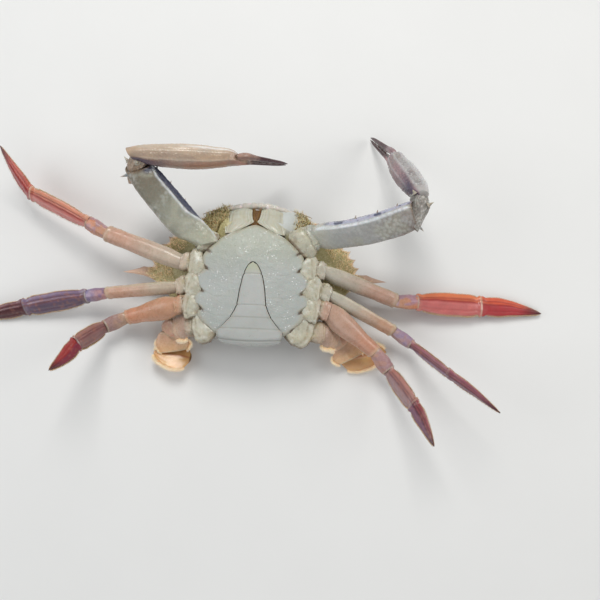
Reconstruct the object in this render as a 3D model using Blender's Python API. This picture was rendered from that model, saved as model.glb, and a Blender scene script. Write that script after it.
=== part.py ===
"""Blue swimming crab lying on its back, life size, as one still model.

Metres, +Z up. The belly faces +Z, the head points to +Y and the animal's
left side is +X. The origin lies under the middle of the body, on the small
flat at the crown of the carapace that the crab rests on.
"""
import math

import bmesh
import bpy
from mathutils import Matrix, Vector

MM = 0.001

# Body, in millimetres.
ARC_HALF_WIDTH = 66.0        # front side margin, half width at the spine roots
ARC_DEPTH = 46.0             # front side margin, depth of its quarter ellipse
ARC_CENTRE_Y = -2.0
ORBIT = ((20.2, 40.8), (25.0, 39.7), (29.3, 40.3))   # notch that holds the eye
SPINE_TIP = (86.5, 1.4)      # tip of the long side spine
FRONT_Y = 44.6               # front edge between the eyes
REAR_Y = -35.6               # rear edge
CROWN_FLAT = 0.22            # size of the crown's flat, as a share of the outline
MARGIN_Z = 15.0              # height of the side margin above the crown
FRONT_Z = 17.0
BELLY_Z = 24.0               # top of the body wall under the sternum
BELLY_HALF_WIDTH = 33.0      # flat under the sternum, about the middle of the outline
BELLY_FRONT = 34.5
BELLY_REAR = 28.0
OUTLINE_MIDDLE = (0.0, 3.0)  # the carapace's rings shrink towards this point
STERNUM_TOP = 38.4           # highest point of the sternum, at the middle of the chest
STERNUM_MIDDLE_Y = -4.0      # the sternum's rings shrink towards this line
JOINT_GAP = 0.34             # clearance between neighbouring pieces
WRIST_ELBOW = 2.6            # how far a claw's wrist stands out of its bend

SHELL = (0.25, 0.27, 0.17)
CREAM = (0.80, 0.79, 0.68)
ABDOMEN = (0.78, 0.77, 0.69)
MOUTH = (0.78, 0.74, 0.58)
EYE = (0.03, 0.03, 0.04)
FEELER = (0.55, 0.35, 0.22)
CLAW_ARM = (0.62, 0.63, 0.60)
CLAW_HAND = (0.66, 0.50, 0.40)
CLAW_FINGER = (0.16, 0.05, 0.07)
LEG_PEACH = (0.74, 0.48, 0.34)
LEG_LILAC = (0.48, 0.34, 0.42)
LEG_RED = (0.62, 0.16, 0.10)
PADDLE = (0.80, 0.48, 0.24)


for old in list(bpy.data.objects):
    bpy.data.objects.remove(old)

CRAB = bpy.data.collections.new("swimming_crab")
CUTTERS = bpy.data.collections.new("cutters")
bpy.context.scene.collection.children.link(CRAB)
bpy.context.scene.collection.children.link(CUTTERS)


def material(name, colour, roughness=0.35):
    made = bpy.data.materials.new(name)
    made.use_nodes = True
    shader = made.node_tree.nodes["Principled BSDF"]
    shader.inputs["Base Color"].default_value = (*colour, 1.0)
    shader.inputs["Roughness"].default_value = roughness
    shader.inputs["Metallic"].default_value = 0.0
    return made


def solid(name, rings, colour, roughness=0.35, cutter=False):
    """Join rings of equal count, given in millimetres, into one closed body."""
    mesh = bmesh.new()
    loops = [[mesh.verts.new(Vector(p) * MM) for p in ring] for ring in rings]
    count = len(rings[0])
    for low, high in zip(loops, loops[1:]):
        for i in range(count):
            j = (i + 1) % count
            mesh.faces.new((low[i], low[j], high[j], high[i]))
    mesh.faces.new(list(reversed(loops[0])))
    mesh.faces.new(loops[-1])
    bmesh.ops.recalc_face_normals(mesh, faces=mesh.faces)
    data = bpy.data.meshes.new(name)
    mesh.to_mesh(data)
    mesh.free()
    made = bpy.data.objects.new(name, data)
    (CUTTERS if cutter else CRAB).objects.link(made)
    if cutter:
        made.hide_render = True
        made.display_type = "WIRE"
    else:
        data.materials.append(material(name, colour, roughness))
    return made


def combine(body, other, operation):
    change = body.modifiers.new(operation.lower(), "BOOLEAN")
    change.operation = operation
    change.solver = "EXACT"
    change.object = other


def unit(yaw, pitch):
    """Direction from a yaw about +Z and a pitch above the floor, in degrees."""
    a, b = math.radians(yaw), math.radians(pitch)
    return Vector((math.cos(a) * math.cos(b), math.sin(a) * math.cos(b), math.sin(b)))


def oval(count, half_width, half_depth, fullness=2.0):
    """Points of a superellipse; a fullness of 2 is an ellipse."""
    points = []
    for i in range(count):
        a = 2 * math.pi * (i + 0.5) / count
        c, s = math.cos(a), math.sin(a)
        points.append((half_width * math.copysign(abs(c) ** (2 / fullness), c),
                       half_depth * math.copysign(abs(s) ** (2 / fullness), s)))
    return points


def smooth(t):
    t = min(1.0, max(0.0, t))
    return t * t * (3 - 2 * t)


# ---------------------------------------------------------------- carapace

def margin():
    """Half outline from the middle of the front to the middle of the rear.

    Each entry is the point on the margin and the point on the line of the
    notches, which the inner rings follow.
    """
    edge = [((0.0, FRONT_Y), (0.0, FRONT_Y))]
    for x, reach in ((2.8, 2.6), (9.4, 3.4), (15.8, 2.2)):
        edge.append(((x, FRONT_Y + reach), (x, FRONT_Y - 0.4)))
        edge.append(((x + 2.9, FRONT_Y - 0.2 - 0.04 * x), (x + 2.9, FRONT_Y - 0.6)))
    for x, y in ORBIT:
        edge.append(((x, y), (x, y - 0.2)))
    teeth = 8
    for i in range(teeth):
        turn = math.radians(62.0 - 49.0 * i / (teeth - 1))
        out = Vector((math.cos(turn), math.sin(turn)))
        root = Vector((ARC_HALF_WIDTH * out.x, ARC_CENTRE_Y + ARC_DEPTH * out.y))
        tip = root + out * 3.1 + Vector((0.9, 0.9))
        edge.append((tuple(tip), tuple(root)))
        turn -= math.radians(3.4)
        notch = (ARC_HALF_WIDTH * math.cos(turn), ARC_CENTRE_Y + ARC_DEPTH * math.sin(turn))
        edge.append((notch, notch))
    edge.append(((73.0, 5.6), (65.2, 3.0)))
    edge.append((SPINE_TIP, (65.0, 0.8)))
    edge.append(((72.5, -0.4), (64.6, -1.0)))
    for x, y in ((63.8, -4.0), (55.0, -13.2), (46.5, -21.5), (39.0, -28.4), (33.5, -32.2),
                 (25.0, -34.6), (12.5, REAR_Y + 0.2)):
        edge.append(((x, y), (x, y)))
    edge.append(((0.0, REAR_Y), (0.0, REAR_Y)))
    return edge


def both_sides(half):
    return half + [((-a[0], a[1]), (-b[0], b[1])) for a, b in reversed(half[1:-1])]


def rim_height(y):
    return MARGIN_Z + (FRONT_Z - MARGIN_Z) * smooth((y - 25) / 18)


def under_rim(point, inside):
    """Just below the margin; under the eye the wall stands out to close the orbit."""
    x, y = abs(point[0]), point[1]
    if any(abs(x - a) < 0.01 for a, b in ORBIT):
        return (math.copysign(x, point[0]), 47.6 - 0.014 * (x - 12) ** 2, 19.0)
    return (inside.x, inside.y, rim_height(y) + 1.3)


def carapace():
    edge = both_sides(margin())
    centre = Vector(OUTLINE_MIDDLE)

    def inner(point, share):
        return centre + (Vector(point) - centre) * share

    def belly(point):
        """Outline of the flat that carries the sternum."""
        way = Vector(point) - centre
        a = math.atan2(way.y, way.x)
        reach = BELLY_FRONT if way.y > 0 else BELLY_REAR
        return centre + Vector((BELLY_HALF_WIDTH * math.cos(a), reach * math.sin(a)))

    rings = []
    for share, lift in ((CROWN_FLAT, 0.0), (0.45, 0.115), (0.68, 0.38), (0.86, 0.70)):
        rings.append([(*inner(b, share), lift * rim_height(b[1])) for a, b in edge])
    rings.append([(*a, rim_height(a[1])) for a, b in edge])
    rings.append([under_rim(a, inner(b, 0.965)) for a, b in edge])
    rings.append([(*(inner(b, 0.90) * 0.5 + belly(b) * 0.5), 20.4) for a, b in edge])
    rings.append([(*belly(b), BELLY_Z) for a, b in edge])
    return solid("carapace", rings, SHELL, 0.5)


# ------------------------------------------------- sternum, abdomen, mouth

def sternum_edge():
    """Half outline: mouth end, shoulder, then a lobe between each two legs."""
    half = [(0.0, 31.6), (6.5, 29.2), (12.4, 26.3), (17.0, 24.4), (21.2, 21.6), (26.6, 16.6)]
    lobes = ((32.4, 10.4), (36.4, -3.6), (36.8, -16.6), (32.6, -27.6))
    hollows = ((29.4, 2.6), (31.6, -11.6), (31.2, -23.4))
    for lobe, hollow in zip(lobes, hollows):
        x, y = hollow
        half += [lobe, (x + 0.9, y + 2.6), hollow, (x + 1.2, y - 2.2)]
    half += [lobes[-1], (28.8, -33.2), (22.6, -38.6), (10.0, -39.6)]
    return half + [(0.0, -39.8)] + [(-x, y) for x, y in reversed(half[1:])]


def sternum_height(x, y):
    """The chest falls away to both sides, to the mouth and to the rear."""
    drop = 4.4 * (x / 37.0) ** 2
    drop += 4.0 * (max(0.0, y - 6) / 26.0) ** 2
    drop += 2.2 * (max(0.0, -18 - y) / 22.0) ** 2
    return STERNUM_TOP - drop


def sternum():
    edge = sternum_edge()

    def shrunk(share):
        return [(x * share, (y - STERNUM_MIDDLE_Y) * share + STERNUM_MIDDLE_Y) for x, y in edge]

    rings = [[(x, y, BELLY_Z + 0.3) for x, y in shrunk(0.97)],
             [(x, y, sternum_height(x, y) - 2.6) for x, y in edge]]
    for share in (0.965, 0.82, 0.55, 0.25):
        rings.append([(x, y, sternum_height(x, y)) for x, y in shrunk(share)])
    return solid("sternum", rings, CREAM, 0.28)


ABDOMEN_SHAPE = (  # distance back from the tip, half width, centre shift
    (0.0, 0.9, -0.6), (1.6, 2.6, -0.7), (4.6, 4.5, -0.9), (8.6, 6.1, -1.2), (13.5, 7.0, -1.4),
    (22.0, 7.5, -1.4), (29.5, 8.4, -1.1), (35.5, 11.0, -0.6), (40.0, 15.0, -0.2), (43.6, 19.6, 0.0))
ABDOMEN_TIP_Y = 6.0


def abdomen_rings(grow=0.0, sink=0.0):
    """The plate itself or, with both values given, the groove that it lies in."""
    rings = []
    for back, half, shift in ABDOMEN_SHAPE:
        y = ABDOMEN_TIP_Y - back + (grow if back == 0 else 0.0)
        z = sternum_height(0.0, y)
        rings.append(plate_ring(shift, y, z, half + grow, 0.75, -1.25 - grow, sink, 0.0))
    if sink:
        rings.append(plate_ring(0.0, -42.0, 34.0, 21.4 + grow, 0.75, -1.25 - grow, sink, 0.0))
        return rings
    # the plate turns down over the rear edge of the body
    for y, z, half, tilt in ((-40.6, 34.8, 20.6, 34), (-42.3, 31.6, 20.2, 66), (-42.7, 26.0, 18.8, 88),
                             (-42.0, 20.0, 16.6, 98)):
        rings.append(plate_ring(0.0, y, z, half, 0.75, -1.25, 0.0, tilt))
    return rings


def plate_ring(shift, y, z, half, top, bottom, sink, tilt):
    """Cross-section of a plate facing up, tipped back by tilt degrees."""
    a = math.radians(tilt)
    shape = [(-1.0, 0.0), (-0.62, top * 0.75), (0.0, top), (0.62, top * 0.75), (1.0, 0.0),
             (0.55, bottom), (0.0, bottom), (-0.55, bottom)]
    points = []
    for across, rise in shape:
        if rise > 0 and sink:
            rise = sink
        if sink and abs(across) == 0.55:
            across *= 1.8
        edge_drop = 0.25 if abs(across) == 1.0 and not sink else 0.0
        rise -= edge_drop
        points.append((shift + half * across, y - math.sin(a) * rise, z + math.cos(a) * rise))
    return points


def abdomen():
    groove = solid("abdomen_groove", abdomen_rings(grow=0.45, sink=3.0), CREAM, cutter=True)
    plate = solid("abdomen", abdomen_rings(), ABDOMEN, 0.3)
    return plate, groove


def maxilliped(side, name):
    """Plate that covers half of the mouth, sloping down to the front edge."""
    rings = []
    table = ((44.3, 22.9, 3.3, 16.6), (42.8, 24.4, 3.0, 17.6), (39.5, 26.6, 2.4, 18.0),
             (36.0, 29.0, 1.5, 18.2), (33.3, 31.0, 0.9, 18.2), (30.3, 32.6, 5.9, 18.2),
             (28.0, 33.2, 11.4, 17.6))
    section = ((-1, -1.2), (-1, 0.5), (-0.6, 1.15), (0.45, 0.9), (1, -0.6), (0.8, -2.6), (-0.4, -2.6))
    for y, z, near, far in table:
        middle, half = (near + far) / 2, (far - near) / 2
        rings.append([(side * (middle + half * across), y, z + rise) for across, rise in section])
    return solid(name, rings, MOUTH, 0.4)


def eye(side, name):
    rings = []
    for t, r in ((0.0, 1.0), (0.14, 1.5), (0.34, 1.6), (0.46, 2.1), (0.64, 2.4), (0.84, 2.0), (1.0, 0.8)):
        ring = [(side * (19.9 + 9.0 * t), 43.6 + r * math.cos(a), 13.8 + r * math.sin(a))
                for a in (2 * math.pi * i / 8 for i in range(8))]
        rings.append(ring)
    return solid(name, rings, EYE, 0.15)


def antenna(side, name):
    rings = []
    for t, r in ((0.0, 1.3), (0.12, 1.5), (0.26, 1.2), (0.34, 0.75), (0.6, 0.55), (0.85, 0.42), (1.0, 0.3)):
        x = 11.0 + 25.0 * t
        y = 46.6 + 1.6 * math.sin(math.pi * t) - 1.4 * t
        z = 21.6 - 1.2 * t
        rings.append([(side * x, y + r * math.cos(a), z + r * math.sin(a))
                      for a in (2 * math.pi * i / 6 for i in range(6))])
    return solid(name, rings, FEELER, 0.4)


# ------------------------------------------------------------------- limbs

def limb_rings(points, index, profile, roll, count, bow=0.0, start_normal=None, cuts=None,
               elbow=0.0):
    """Rings of one segment of a limb whose joints are at points.

    Rings near a joint lie in the plane that halves the bend there, so the
    two neighbours face each other across an even gap. The profile lists
    (t, half width, half depth, sideways shift, upward shift, fullness).
    """
    start, end = points[index], points[index + 1]
    along = (end - start).normalized()
    length = (end - start).length
    share_start = cuts[index - 1] if cuts and index > 0 else 0.5
    share_end = cuts[index] if cuts and index < len(cuts) else 0.5
    cut_start, cut_end = start_normal or along, along
    if index > 0:
        before = (start - points[index - 1]).normalized()
        cut_start = before.slerp(along, share_start)
    if index + 2 < len(points):
        after = (points[index + 2] - end).normalized()
        cut_end = along.slerp(after, share_end)
    side = along.cross(Vector((0, 0, 1))).normalized()
    side = Matrix.Rotation(math.radians(roll), 3, along) @ side
    up = side.cross(along).normalized()
    reach = 0.3 if length > 25 else 0.9
    bulge = Vector((0, 0, 0))
    if elbow:
        bulge = before - after
        bulge = (bulge - along * bulge.dot(along)).normalized() * elbow
    rings = []
    for t, half_width, half_depth, shift_side, shift_up, fullness in profile:
        lean_start = smooth(1 - t / reach)
        lean_end = smooth((t - 1 + reach) / reach)
        normal = along * (1 - lean_start - lean_end) + cut_start * lean_start + cut_end * lean_end
        normal.normalize()
        arc = math.sin(math.pi * t)
        inset = JOINT_GAP / 2 * ((1 - t) / cut_start.dot(along) - t / cut_end.dot(along))
        centre = start + along * (length * t + inset) + side * (bow * arc) + bulge * arc
        ring = []
        for a, b in oval(count, half_width, half_depth, fullness):
            offset = side * (a + shift_side) + up * (b + shift_up)
            slide = -(offset.dot(normal)) / along.dot(normal)
            ring.append(centre + offset + along * slide)
        rings.append(ring)
    return rings


def chain(start, steps):
    points = [Vector(start)]
    for length, yaw, pitch in steps:
        points.append(points[-1] + unit(yaw, pitch) * length)
    return points


def leg_base(width, depth):
    return [(0.0, 0.42 * width, 0.62 * depth, 0, 0, 2.2), (0.14, 0.70 * width, 0.9 * depth, 0, 0, 2.4),
            (0.36, width, depth, 0, 0, 2.4), (0.56, 0.92 * width, 0.95 * depth, 0, 0, 2.2),
            (0.64, 0.78 * width, 0.86 * depth, 0, 0, 2.2), (0.84, 0.86 * width, 0.9 * depth, 0, 0, 2.2),
            (1.0, 0.72 * width, 0.8 * depth, 0, 0, 2.0)]


def leg_merus(width, depth):
    return [(0.0, 0.62 * width, 0.72 * depth, 0, 0, 2.0), (0.1, 0.92 * width, 0.95 * depth, 0, 0, 2.0),
            (0.35, width, depth, 0, 0, 2.1), (0.7, 0.92 * width, 0.95 * depth, 0, 0, 2.1),
            (0.94, 0.84 * width, 0.92 * depth, 0, 0, 2.0), (1.0, 0.58 * width, 0.72 * depth, 0, 0, 2.0)]


def leg_carpus(width, depth):
    return [(0.0, 0.6 * width, 0.72 * depth, 0, 0, 2.0), (0.25, 0.9 * width, 0.95 * depth, 0, 0, 2.0),
            (0.7, width, depth, 0, 0, 2.0), (1.0, 0.66 * width, 0.74 * depth, 0, 0, 2.0)]


def leg_propodus(width, depth):
    return [(0.0, 0.4 * width, 0.72 * depth, 0, 0, 2.0), (0.09, 0.72 * width, 0.95 * depth, 0, 0, 1.8),
            (0.3, 0.97 * width, depth, 0, 0, 1.7), (0.6, width, 0.95 * depth, 0, 0, 1.7),
            (0.9, 0.84 * width, 0.86 * depth, 0, 0, 1.8), (1.0, 0.5 * width, 0.66 * depth, 0, 0, 2.0)]


def leg_dactyl(width, depth):
    rows = []
    for t, w, d in ((0.0, 0.55, 0.7), (0.06, 0.84, 0.95), (0.2, 1.0, 1.0), (0.45, 0.84, 0.9),
                    (0.7, 0.55, 0.75), (0.9, 0.25, 0.5), (1.0, 0.06, 0.2)):
        lean = width * (0.9 - w) * 0.55 if t > 0.2 else 0
        rows.append((t, w * width, d * depth, lean, 0, 1.8))
    return rows


# Joint heights and angles of each leg: where the leg leaves the body, then
# (length, yaw, pitch) of base, merus, carpus, propodus and dactyl.
LEGS = {
    "leg_2_left": ((31.6, 3.0, 30.8),
                   ((14.0, 2.0, -11.0), (52.5, -16.3, -16.6), (14.6, 1.8, -11.8),
                    (43.9, -0.1, -6.5), (40.6, 0.1, -4.2))),
    "leg_2_right": ((-32.2, 3.6, 30.8),
                    ((14.2, 169.0, -9.0), (54.6, 160.2, -4.0), (14.0, 151.4, -4.0),
                     (49.0, 153.6, -10.6), (35.0, 127.0, 16.0))),
    "leg_3_left": ((33.8, -11.6, 30.6),
                   ((15.4, 1.0, -9.5), (49.0, -24.4, -16.6), (14.5, -32.7, -7.9),
                    (37.5, -46.5, 42.0), (36.0, -38.5, 24.0))),
    "leg_3_right": ((-33.4, -11.4, 30.6),
                    ((14.6, 173.5, -10.0), (49.6, -175.7, -14.0), (14.2, -171.8, -12.2),
                     (43.3, -169.2, -8.0), (40.4, -166.4, -8.6))),
    "leg_4_left": ((33.6, -23.0, 30.0),
                   ((15.2, 4.5, -7.5), (41.0, -36.7, -17.0), (14.4, -50.8, -12.0),
                    (30.0, -58.0, 32.0), (29.0, -64.5, 33.0))),
    "leg_4_right": ((-34.0, -23.2, 30.0),
                    ((13.9, 174.0, -8.0), (39.1, -169.2, -24.2), (14.6, -153.8, 0.0),
                     (29.0, -124.0, 54.0), (29.0, -104.0, 47.0))),
}
# Half widths and half depths of merus, propodus and dactyl, then their rolls.
LEG_SIZE = {
    "leg_2": ((5.2, 3.6), (7.4, 2.3), (6.3, 1.8)),
    "leg_3": ((4.6, 3.4), (6.6, 2.2), (5.4, 1.7)),
    "leg_4": ((5.4, 3.5), (6.0, 2.2), (5.0, 1.7)),
}
LEG_ROLL = {
    "leg_2_left": (40, 0, 0), "leg_2_right": (-10, -58, -50), "leg_3_left": (50, 76, 66),
    "leg_3_right": (-55, -34, -34), "leg_4_left": (5, 50, 48), "leg_4_right": (-20, -40, -40),
}


def walking_leg(name):
    start, steps = LEGS[name]
    points = chain(start, steps)
    pair = name.rsplit("_", 1)[0]
    (mw, md), (pw, pd), (dw, dd) = LEG_SIZE[pair]
    turn_m, turn_p, turn_d = LEG_ROLL[name]
    side = 1 if name.endswith("left") else -1
    bow = {"leg_2": 1.2, "leg_3": 2.4, "leg_4": 1.6}[pair] * -side
    out = Vector((side, 0, 0))
    solid(name + "_base", limb_rings(points, 0, leg_base(5.7, 4.4), 0, 8, bow, out), CREAM)
    solid(name + "_merus", limb_rings(points, 1, leg_merus(mw, md), turn_m, 8), LEG_PEACH)
    solid(name + "_carpus", limb_rings(points, 2, leg_carpus(mw * 0.86, md), turn_p * 0.6, 8), LEG_LILAC)
    solid(name + "_propodus", limb_rings(points, 3, leg_propodus(pw, pd), turn_p, 8), LEG_RED)
    solid(name + "_dactyl", limb_rings(points, 4, leg_dactyl(dw, dd), turn_d, 8), LEG_RED)


# The swimming legs fold behind the body: where the leg leaves the body, the
# steps of base, merus, carpus and propodus, then the paddle's root, its own
# step and its roll.
SWIMMING = {
    "leg_5_left": ((28.6, -34.0, 28.6),
                   ((17.5, -2.0, -17.0), (14.0, -6.0, -46.0), (8.0, -40.0, -35.0),
                    (11.0, -62.0, -13.0)),
                   (59.0, -49.2, 2.9), (30.0, 12.0, 1.0), 8),
    "leg_5_right": ((-28.6, -34.0, 28.6),
                    ((11.5, 176.0, -17.0), (13.0, -178.0, -46.0), (8.0, -128.0, -40.0),
                     (11.0, -80.0, -18.0)),
                    (-40.5, -52.6, 5.0), (24.0, 173.0, 2.0), 24),
}
PADDLE_HALF_WIDTH = 9.0
PADDLE_HALF_DEPTH = 1.1


def swimming_leg(name):
    start, steps, paddle_root, (length, yaw, pitch), roll = SWIMMING[name]
    points = chain(start, steps)
    side = 1 if name.endswith("left") else -1
    out = Vector((side * 0.74, -0.67, 0)).normalized()
    solid(name + "_base", limb_rings(points, 0, leg_base(6.6, 4.6), 0, 8, 0, out), CREAM)
    solid(name + "_merus", limb_rings(points, 1, leg_merus(8.2, 3.6), 0, 8), LEG_LILAC)
    solid(name + "_carpus", limb_rings(points, 2, leg_carpus(7.2, 3.0), 0, 8), LEG_LILAC)
    solid(name + "_propodus", limb_rings(points, 3, leg_carpus(8.0, 1.7), 0, 8), LEG_LILAC)
    root = Vector(paddle_root)
    blade = [root, root + unit(yaw, pitch) * length]
    rows = []
    for t, w in ((0.0, 0.45), (0.08, 0.78), (0.25, 1.0), (0.5, 0.98), (0.72, 0.78), (0.9, 0.42),
                 (1.0, 0.08)):
        rows.append((t, PADDLE_HALF_WIDTH * w, PADDLE_HALF_DEPTH * (0.5 + 0.5 * w), 0, 0, 1.8))
    solid(name + "_dactyl", limb_rings(blade, 0, rows, roll, 8), PADDLE)


# Claws: where the claw leaves the body, the steps of base, merus, carpus and
# palm, the fingers' own step, the rolls, and how far each joint's cut turns to
# the next piece.
CLAWS = {
    "claw_left": ((27.8, 17.6, 31.0),
                  ((15.6, 38.0, 0.0), (63.4, 5.0, 28.0), (17.0, 83.0, -3.7), (48.5, 107.3, -42.7)),
                  (36.0, 117.5, -43.2), (0, 44, 30, 20), (0.5, 0.34, 0.5)),
    "claw_right": ((-27.4, 17.4, 31.0),
                   ((9.4, 150.0, 0.0), (53.6, 138.6, 13.0), (16.4, 57.0, 43.0), (59.4, 3.0, -7.4)),
                   (39.0, 17.0, -43.8), (0, -8, 0, 0), (0.5, 0.36, 0.5)),
}


def claw(name):
    start, steps, finger, turn, cuts = CLAWS[name]
    points = chain(start, steps)
    side = 1 if name.endswith("left") else -1
    out = Vector((side, 1, 0)).normalized()
    hip = [(0.0, 6.4, 4.6, 0, 0, 2.2), (0.2, 8.6, 6.4, 0, 0, 2.4), (0.5, 9.2, 6.9, 0, 0, 2.4),
           (0.66, 8.2, 6.2, 0, 0, 2.2), (0.84, 8.8, 6.5, 0, 0, 2.2), (1.0, 7.4, 5.6, 0, 0, 2.0)]
    solid(name + "_base", limb_rings(points, 0, hip, turn[0], 8, 0, out, cuts), CREAM)
    arm = [(0.0, 6.4, 5.4, 0, 0, 2.0), (0.06, 8.4, 6.4, 0, 0, 2.2), (0.3, 9.0, 6.6, 0, 0, 2.4),
           (0.65, 9.2, 6.6, 0, 0, 2.4), (0.93, 8.6, 6.4, 0, 0, 2.2), (1.0, 6.4, 5.2, 0, 0, 2.0)]
    merus = solid(name + "_merus", limb_rings(points, 1, arm, turn[1], 10, 0, None, cuts), CLAW_ARM)
    spines(name, merus, points, turn[1])
    wrist = [(0.0, 5.0, 4.8, 0, 0, 2.0), (0.24, 5.9, 5.7, 0, 0, 2.1), (0.52, 6.7, 6.4, 0, 0, 2.2),
             (0.8, 6.0, 5.9, 0, 0, 2.1), (1.0, 5.0, 4.8, 0, 0, 2.0)]
    wrist_rings = limb_rings(points, 2, wrist, turn[2], 10, 0, None, cuts, WRIST_ELBOW)
    solid(name + "_carpus", wrist_rings, CLAW_ARM)

    hand = [(0.0, 4.8, 4.8, 0, 0, 2.0), (0.08, 6.2, 6.0, 0, 0, 2.0), (0.35, 7.2, 7.0, 0, 0, 2.2),
            (0.7, 6.8, 6.8, 0, 0, 2.2), (0.93, 5.4, 5.8, 0, 0, 2.0)]
    palm = limb_rings(points, 3, hand, turn[3], 10, 0, None, cuts)
    length, yaw, pitch = finger
    bend = [points[3], points[4], points[4] + unit(yaw, pitch) * length]
    lower = [(0.04, 3.6, 2.9, 0, -3.4, 2.0), (0.25, 2.6, 2.3, 0, -2.9, 2.0),
             (0.6, 1.8, 1.7, 0, -2.2, 2.0), (0.9, 1.1, 1.1, 0, -1.2, 2.0), (1.0, 0.4, 0.4, 0, -0.7, 2.0)]
    upper = [(0.0, 2.4, 1.8, 0, 3.0, 2.0), (0.06, 3.3, 2.8, 0, 3.4, 2.0), (0.25, 2.5, 2.3, 0, 3.0, 2.0),
             (0.6, 1.8, 1.7, 0, 2.4, 2.0), (0.9, 1.1, 1.1, 0, 1.5, 2.0), (1.0, 0.4, 0.4, 0, 1.0, 2.0)]
    solid(name + "_palm", palm + limb_rings(bend, 1, lower, turn[3], 10), CLAW_HAND)
    solid(name + "_dactyl", limb_rings(bend, 1, upper, turn[3], 8), CLAW_FINGER)


def spines(name, merus, points, roll):
    """Three spines on the front edge of the arm and one at its far end."""
    side = 1 if name.endswith("left") else -1
    arm = points[2] - points[1]
    along = arm.normalized()
    across = Matrix.Rotation(math.radians(roll), 3, along) @ along.cross(Vector((0, 0, 1))).normalized()
    front = -across * side
    # place along the arm, the way it points, how deep it is rooted and how far it reaches
    places = ((0.42, front, 5.0, 7.0), (0.63, front, 5.2, 7.2), (0.82, front, 5.4, 7.4),
              (0.955, -front, 5.0, 9.2))
    for i, (t, way, root, reach) in enumerate(places):
        way = (way + along * 0.35).normalized()
        base = points[1] + arm * t + way * root
        tip = base + way * reach
        turn_to = way.to_track_quat("Z", "Y")
        rings = []
        for p, r in ((base, 1.7), (base.lerp(tip, 0.6), 1.0), (tip, 0.25)):
            rings.append([p + turn_to @ Vector((r * math.cos(a), r * math.sin(a), 0))
                          for a in (2 * math.pi * k / 5 for k in range(5))])
        thorn = solid("%s_thorn_%d" % (name, i), rings, CLAW_ARM, cutter=True)
        combine(merus, thorn, "UNION")


carapace()
plate = sternum()
apron, groove = abdomen()
combine(plate, groove, "DIFFERENCE")
for side, word in ((1, "left"), (-1, "right")):
    maxilliped(side, "maxilliped_" + word)
    eye(side, "eye_" + word)
    antenna(side, "antenna_" + word)
    claw("claw_" + word)
    for pair in (2, 3, 4):
        walking_leg("leg_%d_%s" % (pair, word))
    swimming_leg("leg_5_" + word)
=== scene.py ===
"""Blue swimming crab lying on its back: the fine shell, its colours and its fringes of hair.

Every piece follows the solid of the same name in the frame. Lengths are in millimetres
until a mesh is made. The belly faces +Z, the mouth +Y, and the crab's left side is +X.
"""
import itertools
import math

import bpy
import numpy as np
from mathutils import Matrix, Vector


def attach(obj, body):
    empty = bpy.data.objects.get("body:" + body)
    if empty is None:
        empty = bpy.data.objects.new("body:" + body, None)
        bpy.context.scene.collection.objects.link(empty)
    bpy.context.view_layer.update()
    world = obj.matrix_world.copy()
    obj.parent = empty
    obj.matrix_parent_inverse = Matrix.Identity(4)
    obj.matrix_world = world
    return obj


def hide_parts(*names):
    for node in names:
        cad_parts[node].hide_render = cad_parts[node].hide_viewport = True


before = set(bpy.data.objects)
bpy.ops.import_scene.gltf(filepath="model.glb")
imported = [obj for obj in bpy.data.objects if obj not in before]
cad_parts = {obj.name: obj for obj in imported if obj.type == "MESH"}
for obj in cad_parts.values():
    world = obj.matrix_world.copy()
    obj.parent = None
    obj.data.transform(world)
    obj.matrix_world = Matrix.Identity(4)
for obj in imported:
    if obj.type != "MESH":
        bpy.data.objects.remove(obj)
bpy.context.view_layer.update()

MM = 0.001
BODY = "root"
SIDES = (("left", 1.0), ("right", -1.0))
UP = np.array((0.0, 0.0, 1.0))
BODY_MIDDLE = np.array((0.0, 0.0, 30.0))      # every limb's first solid starts at its end nearest here
PADDLE_ROOT = np.array((0.0, -40.0, 10.0))


# ---- camera, floor, light

def placed(name, data):
    """A new object in the scene that shows the given data."""
    made = bpy.data.objects.new(name, data)
    bpy.context.scene.collection.objects.link(made)
    return made


CAMERA_PLACE = (0.0302, -0.0855, 0.4283)
CAMERA_TURN = (9.992, -0.399, 2.265)
CAMERA_ANGLE = 49.89
# Each soft light's name, place, target, width, watts and colour.
LIGHTS = (
    ("ceiling", (-0.05, 0.60, 0.80), (0.0, 0.02, 0.02), 0.50, 5.6, (1.0, 0.99, 0.97)),
    ("left_fill", (-0.75, -0.05, 0.5), (0.0, 0.0, 0.02), 0.6, 2.0, (0.95, 0.98, 1.0)),
    ("right_fill", (0.75, 0.10, 0.45), (0.0, 0.0, 0.02), 0.5, 2.0, (1.0, 0.99, 0.96)),
    ("tail_fill", (0.1, -0.6, 0.45), (0.0, 0.0, 0.02), 0.7, 1.2, (1.0, 1.0, 1.0)))
SKY = (0.86, 0.88, 0.90, 1.0)
SKY_STRENGTH = 0.30
FLOOR_REACH = 6.0


def camera():
    """Looks almost straight down on the belly, a little from the tail end."""
    lens = bpy.data.cameras.new("camera")
    lens.sensor_fit = "HORIZONTAL"
    lens.angle = math.radians(CAMERA_ANGLE)
    lens.clip_start = 0.01
    eye = placed("camera", lens)
    eye.location = CAMERA_PLACE
    eye.rotation_euler = [math.radians(a) for a in CAMERA_TURN]
    bpy.context.scene.camera = eye


def softbox(name, place, target, size, watts, colour):
    data = bpy.data.lights.new(name, "AREA")
    data.shape = "DISK"
    data.size = size
    data.energy = watts
    data.color = colour
    lamp = placed(name, data)
    lamp.location = place
    lamp.rotation_euler = (Vector(target) - Vector(place)).to_track_quat("-Z", "Y").to_euler()


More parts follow.
